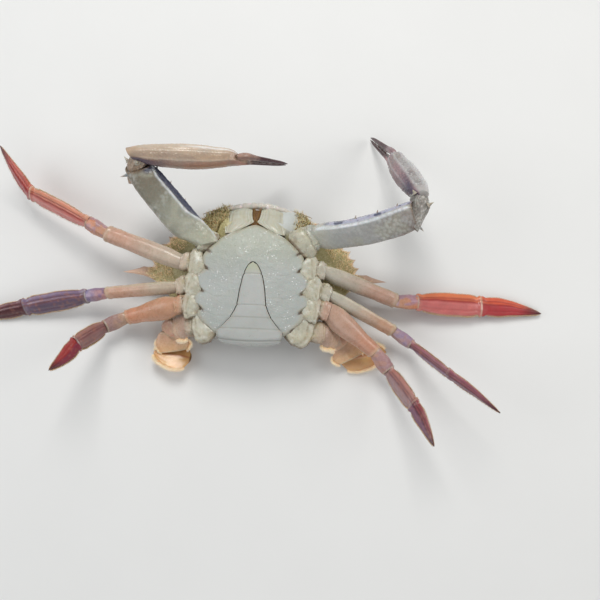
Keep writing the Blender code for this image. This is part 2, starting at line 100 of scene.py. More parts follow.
def studio():
    """Soft ceiling light from beyond the mouth, with weaker fills at the sides."""
    for light in LIGHTS:
        softbox(*light)
    world = bpy.data.worlds.new("studio")
    world.use_nodes = True
    sky = world.node_tree.nodes["Background"].inputs
    sky["Color"].default_value = SKY
    sky["Strength"].default_value = SKY_STRENGTH
    bpy.context.scene.world = world
    bpy.context.scene.view_settings.view_transform = "Standard"


def floor(finish):
    data = bpy.data.meshes.new("floor")
    corners = [(FLOOR_REACH * x, FLOOR_REACH * y, 0.0) for x, y in ((-1, -1), (1, -1), (1, 1), (-1, 1))]
    data.from_pydata(corners, [], [(0, 1, 2, 3)])
    data.materials.append(finish)
    placed("floor", data)


# ---- surface maths

class Field:
    """A number or colour on the surface. Sums of numbers add their own Math nodes."""

    def __init__(self, finish, socket):
        self.finish = finish
        self.socket = socket

    def maths(self, operation, *values):
        return self.finish.node("ShaderNodeMath", {"operation": operation}, values)

    def __add__(self, other):
        return self.maths("ADD", self, other)

    def __mul__(self, other):
        return self.maths("MULTIPLY", self, other)

    def __sub__(self, other):
        return self.maths("SUBTRACT", self, other)

    def __rsub__(self, other):
        return self.maths("SUBTRACT", other, self)

    __radd__ = __add__
    __rmul__ = __mul__

    def limited(self):
        return self.finish.node("ShaderNodeClamp", {}, (self, 0.0, 1.0))

    def between(self, low, high):
        """0 below low, 1 above high, with a soft step."""
        return self.finish.node("ShaderNodeMapRange", {"interpolation_type": "SMOOTHSTEP"},
                                (self, low, high, 0.0, 1.0))


class Finish:
    """One material: a Principled shader and the fields that feed it."""

    def __init__(self, name):
        self.material = bpy.data.materials.new(name)
        self.material.use_nodes = True
        self.tree = self.material.node_tree
        self.shader = self.tree.nodes["Principled BSDF"]

    def node(self, kind, settings, values, output=0):
        made = self.tree.nodes.new(kind)
        for key, value in settings.items():
            setattr(made, key, value)
        pairs = values.items() if isinstance(values, dict) else enumerate(values)
        for key, value in pairs:
            self.put(made.inputs[key], value)
        return Field(self, made.outputs[output])

    def put(self, socket, value):
        if isinstance(value, Field):
            self.tree.links.new(value.socket, socket)
        elif isinstance(value, tuple) and len(value) == 3 and socket.type == "RGBA":
            socket.default_value = (*value, 1.0)
        else:
            socket.default_value = value

    def set(self, **values):
        for key, value in values.items():
            self.put(self.shader.inputs[key.replace("_", " ")], value)

    def mark(self, name):
        """A number that was worked out for each point of the mesh."""
        return self.node("ShaderNodeAttribute", {"attribute_name": name}, (), "Fac")

    def paint(self):
        """The colour that was laid on each point of the mesh."""
        return self.node("ShaderNodeAttribute", {"attribute_name": "paint"}, (), "Color")

    def place(self):
        return self.node("ShaderNodeTexCoord", {}, (), "Object")

    def noise(self, size, detail=3.0, roughness=0.55, where=None, distortion=0.0):
        """Cloudy noise from 0 to 1, with features of about the given size in millimetres."""
        return self.node("ShaderNodeTexNoise", {}, {
            "Vector": where or self.place(), "Scale": 1.0 / (size * MM) if where is None else size,
            "Detail": detail, "Roughness": roughness, "Distortion": distortion}, "Fac")

    def patches(self, size, detail, low, high):
        """Cloudy patches of noise, 0 below low and 1 above high."""
        return self.noise(size, detail).between(low, high)

    def grains(self, size, output="Distance", **settings):
        """Distance to the nearest of many scattered points, about size millimetres apart."""
        return self.node("ShaderNodeTexVoronoi", settings, {
            "Vector": self.place(), "Scale": 1.0 / (size * MM)}, output)

    def mix(self, one, other, share):
        """Two colours, from the first at 0 to the other at 1."""
        return self.node("ShaderNodeMix", {"data_type": "RGBA"}, {0: share, 6: one, 7: other}, 2)

    def tint(self, colour, share, strength=None):
        """Lay a colour over the finish's own, by a field or by the name of a mesh's mark."""
        if isinstance(share, str):
            share = self.mark(share)
        if strength is not None:
            share = share * strength
        self.colour = self.mix(self.colour, colour, share)

    def multiply(self, one, other, share=1.0):
        settings = {"data_type": "RGBA", "blend_type": "MULTIPLY"}
        return self.node("ShaderNodeMix", settings, {0: share, 6: one, 7: other}, 2)

    def bump(self, height, distance, strength=1.0):
        """Relief of the given height field, at most distance millimetres deep."""
        return self.node("ShaderNodeBump", {}, {
            "Height": height, "Distance": distance * MM, "Strength": strength}, "Normal")

    def close(self, rough, relief, coat, **fixed):
        """Join the colour, roughness, relief and patchy wet coat to the shader.

        rough holds a noise's size and detail, a gain and the least roughness; coat holds a
        noise's size and detail, the step's low and high ends, and the coat's weight.
        """
        size, detail, gain, least = rough
        self.set(Base_Color=self.colour, Roughness=self.noise(size, detail) * gain + least,
                 Normal=self.bump(*relief))
        size, detail, low, high, weight = coat
        self.set(Coat_Weight=self.patches(size, detail, low, high) * weight, **fixed)
        return self


# ---- relief from numbers

def scatter(cell, seed):
    """A repeatable number from 0 to 1 for each whole-number place."""
    x, y, z = (cell[..., i].astype(np.int64) for i in range(3))
    mixed = (x * 73856093) ^ (y * 19349663) ^ (z * 83492791) ^ (seed * 2654435761)
    mixed = ((mixed ^ (mixed >> 15)) * 2246822519) & 0xFFFFFFFF
    mixed = ((mixed ^ (mixed >> 13)) * 3266489917) & 0xFFFFFFFF
    return ((mixed ^ (mixed >> 16)) & 0xFFFFFF) / 0xFFFFFF


def lumps(points, size, seed=1):
    """Smooth hills and hollows from -1 to 1, about size millimetres across."""
    place = points / size
    cell = np.floor(place)
    share = place - cell
    share = share * share * (3 - 2 * share)
    total = 0.0
    for corner in itertools.product((0, 1), repeat=3):
        weight = np.prod(np.where(corner, share, 1 - share), axis=-1)
        total = total + weight * scatter(cell + corner, seed)
    return 2 * total - 1


def granules(points, size, seed=1, width=0.5):
    """Round grains from 0 to 1, one in each size millimetres, of mixed height."""
    place = points / size
    cell = np.floor(place)
    height = np.zeros(points.shape[:-1])
    for step in itertools.product((-1, 0, 1), repeat=3):
        near = cell + step
        seat = near + 0.15 + 0.7 * np.stack([scatter(near, seed + k) for k in range(3)], -1)
        gap = np.sqrt(((place - seat) ** 2).sum(-1)) / width
        grain = np.clip(1 - gap * gap, 0, 1) * (0.45 + 0.55 * scatter(near, seed + 5))
        height = np.maximum(height, grain)
    return height


def smooth(low, high, value):
    """0 below low and 1 above high, with a soft step; high may be the smaller one."""
    share = np.clip((value - low) / (high - low), 0, 1)
    return share * share * (3 - 2 * share)


def bell(value, middle, width):
    return np.exp(-((value - middle) / width) ** 2)


def through(stops, values, at):
    """A smooth curve through (stop, value) pairs, read at the given places."""
    stops, values, at = np.asarray(stops, float), np.asarray(values, float), np.asarray(at, float)
    slope = np.gradient(values, stops, axis=0)
    i = np.clip(np.searchsorted(stops, at, side="right") - 1, 0, len(stops) - 2)
    span = stops[i + 1] - stops[i]
    s = (at - stops[i]) / span
    if values.ndim > 1:
        shape = s.shape + (1,) * (values.ndim - 1)
        s, span = s.reshape(shape), span.reshape(shape)
    near = (2 * s ** 3 - 3 * s ** 2 + 1) * values[i] + (s ** 3 - 2 * s ** 2 + s) * span * slope[i]
    return near + (-2 * s ** 3 + 3 * s ** 2) * values[i + 1] + (s ** 3 - s ** 2) * span * slope[i + 1]


def circle(count):
    """Evenly spaced turns, once round."""
    return np.linspace(0, 2 * math.pi, count, endpoint=False)


def squared(value, power):
    """A cosine or sine from -1 to 1, fuller towards its ends for a power under 1."""
    return np.sign(value) * np.abs(value) ** power


def section(count, power):
    """Places across and through a round section, squarer for a lower power."""
    turn = circle(count)
    return squared(np.cos(turn), power), squared(np.sin(turn), power)


def unit(vectors):
    return vectors / np.maximum(np.linalg.norm(vectors, axis=-1, keepdims=True), 1e-9)


def across_grid(points):
    """Directions square to a grid of rows, all to the same side."""
    down = np.gradient(points, axis=0)
    around = np.roll(points, -1, axis=1) - np.roll(points, 1, axis=1)
    return unit(np.cross(around, down))


def grid_normals(points):
    """Outward directions on a grid of rows round a closed piece."""
    normal = across_grid(points)
    middle = points.mean(axis=1, keepdims=True)
    outward = np.sign(((points - middle) * normal).sum(-1).mean())
    return normal * (outward or 1.0)


def cut_plane(ring):
    """The middle of a flat ring of points, and the direction across it."""
    offset = ring - ring.mean(axis=0)
    return ring.mean(axis=0), np.linalg.svd(offset, full_matrices=False)[2][2]


def turn_gap(turn, other):
    """The angle between two turns, from 0 to half a circle."""
    return np.abs(np.angle(np.exp(1j * (turn - other))))


def rings_round(middles, radii, way, hint, columns):
    """Round rings of the given radii along a line of middles."""
    side = unit(np.cross(way, hint))
    rise = np.cross(side, way)
    turn = circle(columns)[:, None]
    ring = side[..., None, :] * np.cos(turn) + rise[..., None, :] * np.sin(turn)
    return middles[:, None] + ring * np.asarray(radii)[:, None, None]


# ---- meshes

def grid_mesh(rows, columns, closed=True, offset=0):
    """Four-sided faces between the rows of a grid of points."""
    i = np.arange(rows - 1)[:, None] * columns
    j = np.arange(columns if closed else columns - 1)[None, :]
    k = (j + 1) % columns
    return np.stack([i + j, i + k, i + columns + k, i + columns + j], -1).reshape(-1, 4) + offset


def piece(name, points, quads, triangles, finish, nodes=(), marks=None, patches=None):
    """Make a mesh of points in millimetres, and hide the solids of the nodes it stands for."""
    points = np.asarray(points, float).reshape(-1, 3) * MM
    quads = np.asarray(quads, int).reshape(-1, 4)
    triangles = np.asarray(triangles, int).reshape(-1, 3)
    fan = np.concatenate([quads[:, [0, 1, 2]], quads[:, [0, 2, 3]], triangles])
    a, b, c = (points[fan[:, i]] for i in range(3))
    if (a * np.cross(b, c)).sum() < 0:
        quads, triangles = quads[:, ::-1], triangles[:, ::-1]
    corners = np.concatenate([quads.ravel(), triangles.ravel()]).astype(np.int32)
    starts = np.concatenate([np.arange(len(quads)) * 4, len(quads) * 4 + np.arange(len(triangles)) * 3])
    data = bpy.data.meshes.new(name)
    data.vertices.add(len(points))
    data.vertices.foreach_set("co", points.astype(np.float32).ravel())
    data.loops.add(len(corners))
    data.loops.foreach_set("vertex_index", corners)
    data.polygons.add(len(starts))
    data.polygons.foreach_set("loop_start", starts.astype(np.int32))
    data.update(calc_edges=True)
    data.shade_smooth()
    for key, values in (marks or {}).items():
        values = np.asarray(values, np.float32)
        if values.ndim == 2:
            values = np.column_stack([values, np.ones(len(values), np.float32)])
            data.attributes.new(key, "FLOAT_COLOR", "POINT").data.foreach_set("color", values.ravel())
        else:
            data.attributes.new(key, "FLOAT", "POINT").data.foreach_set("value", values)
    if patches is not None:
        spots = np.asarray(patches, np.float32)[corners]
        data.uv_layers.new(name="OFBake").uv.foreach_set("vector", spots.ravel())
    data.materials.append(finish.material)
    made = placed(name, data)
    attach(made, BODY)
    for node in nodes:
        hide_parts(node)
    return made


def tube(name, rows, finish, nodes=(), marks=None):
    """A closed piece from rings of points, with both ends drawn in to a point."""
    count, columns = rows.shape[:2]
    ends = np.stack([rows[0].mean(axis=0), rows[-1].mean(axis=0)])
    points = np.concatenate([rows.reshape(-1, 3), ends])
    j = np.arange(columns)
    k = (j + 1) % columns
    last = (count - 1) * columns
    first_fan = np.stack([np.full(columns, len(points) - 2), k, j], -1)
    last_fan = np.stack([np.full(columns, len(points) - 1), last + j, last + k], -1)
    full = {}
    for key, values in (marks or {}).items():
        values = np.asarray(values, float)
        values = np.broadcast_to(values, (count, columns) + values.shape[2:])
        flat = values.reshape((count * columns,) + values.shape[2:])
        full[key] = np.concatenate([flat, values[:1].mean(axis=1), values[-1:].mean(axis=1)])
    return piece(name, points, grid_mesh(count, columns), np.concatenate([first_fan, last_fan]),
                 finish, nodes, full)


# ---- limbs

def flat_ends(corners, faces, sides):
    """The vertex sets of a solid's flat ends, each cut from one many-sided face."""
    a, b, c = (corners[faces[:, i]] for i in range(3))
    normal = unit(np.cross(b - a, c - a))
    middle = (a + b + c) / 3
    height = ((middle[None, :] - middle[:, None]) * normal[:, None]).sum(-1)
    same = (normal @ normal.T > 0.9995) & (np.abs(height) < 0.02)
    ends = {}
    for group in same:
        corners_used = np.unique(faces[group])
        if group.sum() >= sides - 2 and len(corners_used) == sides:
            ends[tuple(corners_used)] = corners_used
    return list(ends.values())


def solid_rings(node, near, sides):
    """A limb solid's own rings of corners, from the end nearest a place to the other end."""
    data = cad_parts[node].data
    found = np.empty(len(data.vertices) * 3, np.float32)
    data.vertices.foreach_get("co", found)
    corners, where = np.unique(np.round(found.reshape(-1, 3) / MM, 3), axis=0, return_inverse=True)
    faces = np.array([[where.ravel()[v] for v in face.vertices] for face in data.polygons])
    ends = flat_ends(corners, faces, sides)
    ends.sort(key=lambda e: np.linalg.norm(corners[e].mean(axis=0) - near))
    joined = np.zeros((len(corners), len(corners)), bool)
    for i, j in ((0, 1), (1, 2), (2, 0)):
        joined[faces[:, i], faces[:, j]] = joined[faces[:, j], faces[:, i]] = True
    seen = np.zeros(len(corners), bool)
    seen[ends[0]] = True
    rings = [ends[0]]
    while not seen.all():
        following = joined[rings[-1]].any(axis=0) & ~seen
        rings.append(np.flatnonzero(following))
        seen |= following
    return in_step([corners[ring] for ring in rings])


def in_step(rings):
    """Sort each ring's corners round its middle, so that corner k follows corner k."""
    middles = np.array([ring.mean(axis=0) for ring in rings])
    along = unit(np.gradient(middles, axis=0))
    sorted_rings = []
    for ring, middle, way in zip(rings, middles, along):
        side = unit(np.cross(way, UP))
        rise = np.cross(side, way)
        turn = np.arctan2((ring - middle) @ rise, (ring - middle) @ side)
        ring = ring[np.argsort(turn)]
        if sorted_rings:
            before = sorted_rings[-1] - sorted_rings[-1].mean(axis=0)
            shifts = [np.roll(ring - middle, -s, axis=0) for s in range(len(ring))]
            ring = middle + min(shifts, key=lambda r: ((unit(r) - unit(before)) ** 2).sum())
        sorted_rings.append(ring)
    return np.array(sorted_rings)


def around_finely(rings, columns):
    """Round each ring through its corners with a closed smooth curve."""
    count = rings.shape[1]
    at = np.arange(columns) * count / columns
    i = np.floor(at).astype(int)
    s = (at - i)[None, :, None]
    p0, p1, p2, p3 = (rings[:, (i + k) % count] for k in (-1, 0, 1, 2))
    return 0.5 * (2 * p1 + (p2 - p0) * s + (2 * p0 - 5 * p1 + 4 * p2 - p3) * s ** 2
                  + (3 * p1 - p0 - 3 * p2 + p3) * s ** 3)


# A segment's domed start and cupped end: share of the end ring's size, and reach along the limb.
DOME = ((0.12, 1.15), (0.45, 1.0), (0.75, 0.66), (0.93, 0.25))
CUP_LIP = ((0.975, 0.10), (0.93, 0.12))
CUP = ((0.87, -0.1), (0.83, -0.6), (0.80, -1.0), (0.3, -1.0))
CUP_DEPTH = 1.6
DOME_SHADE = (1.0, 1.0, 1.0, 0.8)
CUP_SHADE = (0.0, 0.15, 0.6, 1.0, 1.0, 1.0)


class Limb:
    """A fine grid over one limb piece, in millimetres, with where each point lies on it.

    t runs from 0 at the body's end to 1. across and thick are a point's place in the
    cross-section, from -1 to 1: across grows towards the edge nearer the mouth, and thick
    towards the belly's side. up tells how far a point faces the sky.
    """

    def __init__(self, node, rings, mirror, step=0.45):
        self.node = node
        self.mirror = mirror
        middles = rings.mean(axis=1)
        gone = np.concatenate([[0.0], np.cumsum(np.linalg.norm(np.diff(middles, axis=0), axis=1))])
        self.length = gone[-1]
        girth = np.linalg.norm(rings - np.roll(rings, 1, axis=1), axis=-1).sum(axis=1).max()
        self.columns = int(max(20, girth / step))
        rows = int(max(12, self.length / step))
        ease = np.linspace(0, 1, rows)
        self.t = (ease - 0.06 * np.sin(2 * math.pi * ease))[:, None]
        fine = around_finely(rings, self.columns)
        self.points = through(gone / self.length, fine, self.t[:, 0])
        self.measure()

    def measure(self):
        self.middles = self.points.mean(axis=1, keepdims=True)
        self.way = unit(np.gradient(self.middles[:, 0], axis=0))[:, None]
        offset = self.points - self.middles
        widest = int(np.argmax(np.linalg.norm(offset, axis=-1).max(axis=1)[2:-2])) + 2
        flat = offset[widest] - (offset[widest] @ self.way[widest, 0])[:, None] * self.way[widest, 0]
        wide = np.linalg.svd(flat, full_matrices=False)[2][0]
        if self.mirror * wide @ np.cross(self.way[widest, 0], UP) > 0:
            wide = -wide
        self.side = unit(wide - (self.way @ wide)[..., None] * self.way)
        self.rise = -self.mirror * np.cross(self.side, self.way)
        self.half_width = np.abs((offset * self.side).sum(-1)).max(axis=1, keepdims=True)
        self.half_depth = np.abs((offset * self.rise).sum(-1)).max(axis=1, keepdims=True)
        self.across = (offset * self.side).sum(-1) / self.half_width
        self.thick = (offset * self.rise).sum(-1) / self.half_depth
        self.turn = np.arctan2(self.thick, self.across)
        self.face()

    def face(self):
        """Find which way each point of the surface faces."""
        self.normal = grid_normals(self.points)
        self.up = self.normal[..., 2]

    def reshape(self, wide, deep, power=1.0):
        """Scale the sections by the given gains; a power under 1 also makes them squarer."""
        offset = self.points - self.middles
        across = squared(self.across, power) * self.half_width
        thick = squared(self.thick, power) * self.half_depth
        flat = (across * wide)[..., None] * self.side + (thick * deep)[..., None] * self.rise
        lengthwise = (offset * self.way).sum(-1)[..., None] * self.way
        self.points = self.middles + flat + lengthwise
        self.half_width, self.half_depth = self.half_width * wide, self.half_depth * deep
        self.face()

    def fill_ends(self, start, end, reach=0.12):
        """Widen a segment's ends, so that neighbours meet with only a narrow waist."""
        gain = 1 + start * smooth(reach, 0.0, self.t) + end * smooth(1 - reach, 1.0, self.t)
        self.reshape(gain, 1 + 0.5 * (gain - 1))

    def stretch(self, reach, share=0.3):
        """Draw the start back towards the body, so that it overlaps the piece before it."""
        self.points = self.points - self.way[0, 0] * (reach * smooth(share, 0.0, self.t))[..., None]

    def band(self, middle, width):
        """1 at a place along the piece, falling off on both sides of it."""
        return bell(self.t, middle, width)

    def past(self, low, high):
        """0 before one place along the piece and 1 beyond the other."""
        return smooth(low, high, self.t)

    def lumps(self, size, seed=1):
        return lumps(self.points, size, seed)

    def granules(self, size, seed=1, width=0.5):
        return granules(self.points, size, seed, width)

    def tint(self, colour, share):
        """Lay a colour over the piece's paint, where share is 1."""
        self.paint = blend(self.paint, colour, share)

    def swell(self, amount):
        """Move the surface out by the given millimetres."""
        self.points = self.points + self.normal * np.asarray(amount)[..., None]

    def keel(self, degrees, width=0.16):
        """1 on the line along the piece that lies at the given turn from its front edge."""
        return np.exp(-(turn_gap(self.turn, math.radians(degrees)) / width) ** 2)

    def keels(self, width, *degrees):
        """Several such lines of one width, added up."""
        return sum(self.keel(turn, width) for turn in degrees)

    def nearest_row(self, t):
        return int(np.argmin(np.abs(self.t[:, 0] - t)))

    def rows_after(self, t):
        """The rows next after the given places, clear of the two ends."""
        return np.searchsorted(self.t[:, 0], t).clip(1, len(self.t) - 2)

    def lip(self, dome):
        """Finished rows: a dome that fits the last piece's cup, the piece, and its own cup."""
        first, last = self.points[0], self.points[-1]
        back, ahead = -self.end_way(0), self.end_way(-1)
        middle = first.mean(axis=0)
        start = [middle + (first - middle) * share + back * (dome * reach) for share, reach in DOME]
        middle = last.mean(axis=0)
        cup = [(share, reach * (CUP_DEPTH if reach < -0.1 else 1.0)) for share, reach in CUP_LIP + CUP]
        cup = [middle + (last - middle) * share + ahead * reach for share, reach in cup]
        return np.concatenate([np.array(start), self.points, np.array(cup)]), len(start), len(cup)

    def end_way(self, row):
        """Direction across an end's own cut plane, pointing along the limb."""
        normal = cut_plane(self.points[row])[1]
        return normal * (np.sign(normal @ self.way[row, 0]) or 1.0)

    def make(self, finish, slot, tip=False, dome=1.1, shade=1.0):
        """The finished piece. The dome and the cup take a dark joint mark, of the given strength."""
        rows, before, after = self.lip(dome=dome)
        if tip:
            rows, after = rows[:-after], 0
        paint = np.broadcast_to(self.paint, self.points.shape)
        paint = [np.repeat(paint[:1], before, axis=0), paint, np.repeat(paint[-1:], after, axis=0)]
        joint = np.zeros(rows.shape[:2])
        joint[:before] = np.array(DOME_SHADE)[:, None]
        if after:
            joint[-after:] = np.array(CUP_SHADE)[:, None]
        marks = {"paint": np.concatenate(paint), "joint": joint * shade}
        return tube(self.node + "_shell", rows, finish, [self.node], marks)


# ---- carapace

ARC_HALF_WIDTH, ARC_DEPTH, ARC_CENTRE_Y = 66.0, 46.0, -2.0
ORBIT = ((20.2, 40.8), (25.0, 39.7), (29.3, 40.3))
SPINE_TIP = (86.5, 1.4)
FRONT_Y, REAR_Y = 44.6, -35.6
CROWN_FLAT = 0.22      # share of the outline that rests flat on the floor
BACK_ROWS = 52
MARGIN_Z, FRONT_Z, BELLY_Z = 15.0, 17.0, 24.0
BELLY_HALF_WIDTH, BELLY_FRONT, BELLY_REAR = 33.0, 34.5, 28.0
OUTLINE_MIDDLE = np.array((0.0, 3.0))
SIDE_TEETH = 8


def shell_margin():
    """Half outline from the front to the rear: points on the edge, and on the line of the notches."""
    edge = [((0.0, FRONT_Y), (0.0, FRONT_Y))]
    for x, reach in ((2.8, 2.6), (9.4, 3.4), (15.8, 2.2)):
        edge.append(((x, FRONT_Y + reach), (x, FRONT_Y - 0.4)))
        edge.append(((x + 2.9, FRONT_Y - 0.2 - 0.04 * x), (x + 2.9, FRONT_Y - 0.6)))
    for x, y in ORBIT:
        edge.append(((x, y), (x, y - 0.2)))
    for i in range(SIDE_TEETH):
        turn = math.radians(62.0 - 49.0 * i / (SIDE_TEETH - 1))
        out = np.array((math.cos(turn), math.sin(turn)))
        root = np.array((ARC_HALF_WIDTH * out[0], ARC_CENTRE_Y + ARC_DEPTH * out[1]))
        edge.append((tuple(root + out * 3.1 + 0.9), tuple(root)))
        turn -= math.radians(3.4)
        notch = (ARC_HALF_WIDTH * math.cos(turn), ARC_CENTRE_Y + ARC_DEPTH * math.sin(turn))
        edge.append((notch, notch))
    edge.append(((73.0, 5.6), (65.2, 3.0)))
    edge.append((SPINE_TIP, (65.0, 0.8)))
    edge.append(((72.5, -0.4), (64.6, -1.0)))
    for x, y in ((63.8, -4.0), (55.0, -13.2), (46.5, -21.5), (39.0, -28.4), (33.5, -32.2),
                 (25.0, -34.6), (12.5, REAR_Y + 0.2)):
        edge.append(((x, y), (x, y)))
    edge.append(((0.0, REAR_Y), (0.0, REAR_Y)))
    return np.array(edge)


def fine_margin(steps=12):
    """The whole outline, clockwise from the front, with each tooth bowed like a thorn."""
    half = shell_margin()
    other = half[1:-1][::-1] * (-1.0, 1.0)
    loop = np.concatenate([half, other])
    following = np.roll(loop, -1, axis=0)
    share = np.arange(steps)[None, :, None, None] / steps
    fine = loop[:, None] + (following - loop)[:, None] * share
    reach = np.linalg.norm(fine[:, :, 0] - fine[:, :, 1], axis=-1)
    hollow = 0.16 * np.sin(math.pi * share[..., 0, 0]) * np.minimum(reach, 6.0)
    toward = unit(fine[:, :, 1] - fine[:, :, 0])
    fine[:, :, 0] += toward * hollow[..., None]
    return fine.reshape(-1, 2, 2)


def rim_height(y):
    return MARGIN_Z + (FRONT_Z - MARGIN_Z) * smooth(25.0, 43.0, y)


def belly_edge(line):
    """Outline of the flat under the sternum, in the directions of the notch line."""
    way = line - OUTLINE_MIDDLE
    turn = np.arctan2(way[:, 1], way[:, 0])
    reach = np.where(way[:, 1] > 0, BELLY_FRONT, BELLY_REAR)
    return OUTLINE_MIDDLE + np.stack([BELLY_HALF_WIDTH * np.cos(turn), reach * np.sin(turn)], -1)


def back_ridges(x, y):
    """The granulated ridges that cross the crab's back, from 0 to 1."""
    wide = np.abs(x)
    shoulder = bell(y, 4.0 + 12.0 * smooth(60.0, 25.0, wide) - 3.0 * smooth(30, 14, wide), 0.9)
    shoulder = shoulder * smooth(12, 16, wide) * smooth(66, 60, wide)
    stomach = bell(y, 20.0 - 0.012 * x * x, 0.8) * smooth(17, 14, wide)
    heart = bell(y, -8.0 + 0.02 * x * x, 0.9) * smooth(11, 8, wide)
    return np.maximum(np.maximum(shoulder, stomach), heart)


def softened(loop, reach):
    """A closed outline with its corners rounded off over the given number of steps."""
    return sum(np.roll(loop, k, axis=0) for k in range(-reach, reach + 1)) / (2 * reach + 1)


def carapace(finish):
    """The whole shell: its back, toothed rim, flanks and cheeks."""
    outline = fine_margin()
    edge, line = outline[:, 0], outline[:, 1]
    belly = belly_edge(line)
    reach = edge - line
    tooth = np.linalg.norm(reach, axis=-1)
    rows, shares = [], []
    for share in np.linspace(0.02, 1.0, BACK_ROWS) ** 0.8:
        out = smooth(0.9, 1.0, share)
        flat = OUTLINE_MIDDLE + (line - OUTLINE_MIDDLE) * share + reach * out
        lift = through((0, CROWN_FLAT, 0.45, 0.68, 0.86, 1.0), (0, 0, 0.115, 0.38, 0.70, 1.0), share)
        rows.append(np.column_stack([flat, max(0.0, float(lift)) * rim_height(flat[:, 1])]))
        shares.append((1.0, smooth(0.93, 1.0, share), out))
    under = OUTLINE_MIDDLE + (line - OUTLINE_MIDDLE) * 0.965
    half_way = (OUTLINE_MIDDLE + (line - OUTLINE_MIDDLE) * 0.90 + belly) / 2
    beside = np.abs(edge[:, 0])
    orbit = (beside > 9.0) & (beside < 36.0) & (edge[:, 1] > 30)
    lower = 1.3 + 1.2 * smooth(20.0, 12.0, beside)
    brow = np.minimum(47.2, 48.2 - 0.0145 * (beside - 12) ** 2) - np.where(edge[:, 0] < 0, lower, 0.6)
    brow = np.column_stack([edge[:, 0], brow])
    under = np.where(orbit[:, None], brow, under)
    rim = rim_height(edge[:, 1])
    under, half_way = softened(under, 9), softened(half_way, 21)
    front = smooth(20.0, 33.0, belly[:, 1]) * (0.70 + 0.30 * smooth(9.0, 18.0, np.abs(belly[:, 0])))
    full = front * smooth(40.0, 24.0, beside)
    knots = np.stack([np.column_stack([edge, rim]),
                      np.column_stack([under, np.where(orbit, 20.6 - 0.13 * (beside - 12), rim + 1.3)]),
                      np.column_stack([half_way, 20.4 + 6.2 * front + 1.8 * full]),
                      np.column_stack([belly, BELLY_Z + 6.4 * front + 0.8 * full])])
    for share in np.linspace(0.02, 1.0, 40) ** 1.1:
        k = share * 3
        rows.append(through((0, 1, 2, 3), knots, np.array([k]))[0])
        shares.append((0.0, smooth(0.4, 0.0, k), smooth(0.9, 0.0, k)))
    rows = np.array(rows)
    back, rim, out = np.array(shares).T[..., None]
    marks = {"back": back, "rim": rim, "tooth": tooth * out}
    x, y, z = rows[..., 0], rows[..., 1], rows[..., 2]
    normal = shell_normals(rows)
    calm = smooth(0.0, 0.5, back) * (1 - rim)
    rough = granules(rows, 1.15, 3) * (0.35 + 0.3 * lumps(rows, 9.0, 5))
    ridge = back_ridges(x, y)
    ridged = ridge * (0.35 + 0.35 * granules(rows, 0.9, 8))
    relief = calm * smooth(0.4, 2.0, z) * (0.28 * rough + ridged)
    belly_side = (1 - back) * smooth(16.2, 18.0, z)
    relief = relief + belly_side * (0.16 * granules(rows, 0.8, 12) + 0.35 * lumps(rows, 6.0, 4))
    rows = rows + normal * relief[..., None]
    marks["ridge"] = ridge * back
    beside = np.abs(x)
    # The cheek mark places a painted highlight: a pale wash mostly on the +X cheek, barely reaching the
    # other side.
    cheek = smooth(25, 31, y) * smooth(36.0, 22.0, beside + 14.0 * (x < 0) + 4.0 * lumps(rows, 4.0, 7))
    marks["cheek"] = (1 - back) * cheek * smooth(4.5, 7.0, beside)
    marks["mouth"] = (1 - back) * smooth(7.0, 4.5, beside) * smooth(26, 30, y)
    tube("carapace_shell", rows, finish, ["carapace"], marks)
    return rows


def shell_normals(rows):
    """Outward directions on the shell, whose first rows lie on the crown and face down."""
    normal = across_grid(rows)
    return normal * np.sign(-normal[2:20, :, 2].mean())


# ---- sternum and tail plate

STERNUM_TOP = 38.4
STERNUM_HUB = np.array((-1.0, -22.0))     # the plate's fine rows run out from here
# The chest's side lobes, and the hollows between them, in front of each leg's root.
LOBES = ((32.0, 9.0), (36.0, -4.6), (36.6, -17.4), (33.0, -28.2))
HOLLOWS = ((29.4, 2.6), (31.6, -11.6), (31.2, -23.4))
IN_GROOVE, DOWN_SIDE = -1.0, -0.5        # marks of the rings beside the plate's top
TAIL_TIP_Y = 6.0
# The tail plate on the belly: distance back from its tip, half width, and shift to the side.
TAIL_SHAPE = ((0.0, 0.9, 0.2), (1.6, 2.5, 0.2), (4.6, 4.2, 0.3), (8.1, 5.6, 0.4), (13.5, 6.8, 0.5),
              (18.0, 7.6, 0.5), (24.1, 8.3, 0.5), (28.0, 9.1, 0.5), (32.0, 10.8, 0.4),
              (36.0, 13.4, 0.3), (40.0, 16.8, 0.1), (43.6, 20.2, 0.0))
# Its turned-down rear: place, height, half width and tilt in degrees.
TAIL_TURN = ((-40.2, 35.0, 20.2, 30), (-42.0, 31.9, 19.6, 60), (-42.6, 26.0, 18.0, 86),
             (-42.0, 20.0, 15.4, 98))
TAIL_SEAMS = (7.4, 27.0, 34.6, 41.6, 48.5, 54.5)      # distance back from the tip to each seam
PLATE_GAP = 0.38                                      # groove round the plate


def sternum_edge():
    half = [(0.0, 31.6), (6.5, 29.2), (12.4, 26.3), (17.0, 24.4), (21.2, 21.6), (26.6, 16.6)]
    for lobe, (x, y) in zip(LOBES, HOLLOWS):
        out, down = lobe
        half += [(out - 0.8, down + 2.6), (out, down), (out - 0.2, down - 2.0)]
        half += [(x + 1.6, y + 1.8), (x, y), (x + 1.4, y - 1.3)]
    half += [LOBES[-1], (28.8, -33.2), (22.6, -38.6), (10.0, -39.6), (0.0, -39.8)]
    half = np.array(half)
    return np.concatenate([half, half[1:-1][::-1] * (-1.0, 1.0)])


def sternum_height(x, y):
    """The chest falls away to both sides, to the mouth and to the rear."""
    drop = 4.4 * (x / 37.0) ** 2
    drop = drop + 4.0 * (np.maximum(0.0, y - 6) / 26.0) ** 2
    return STERNUM_TOP - drop - 2.2 * (np.maximum(0.0, -18 - y) / 22.0) ** 2


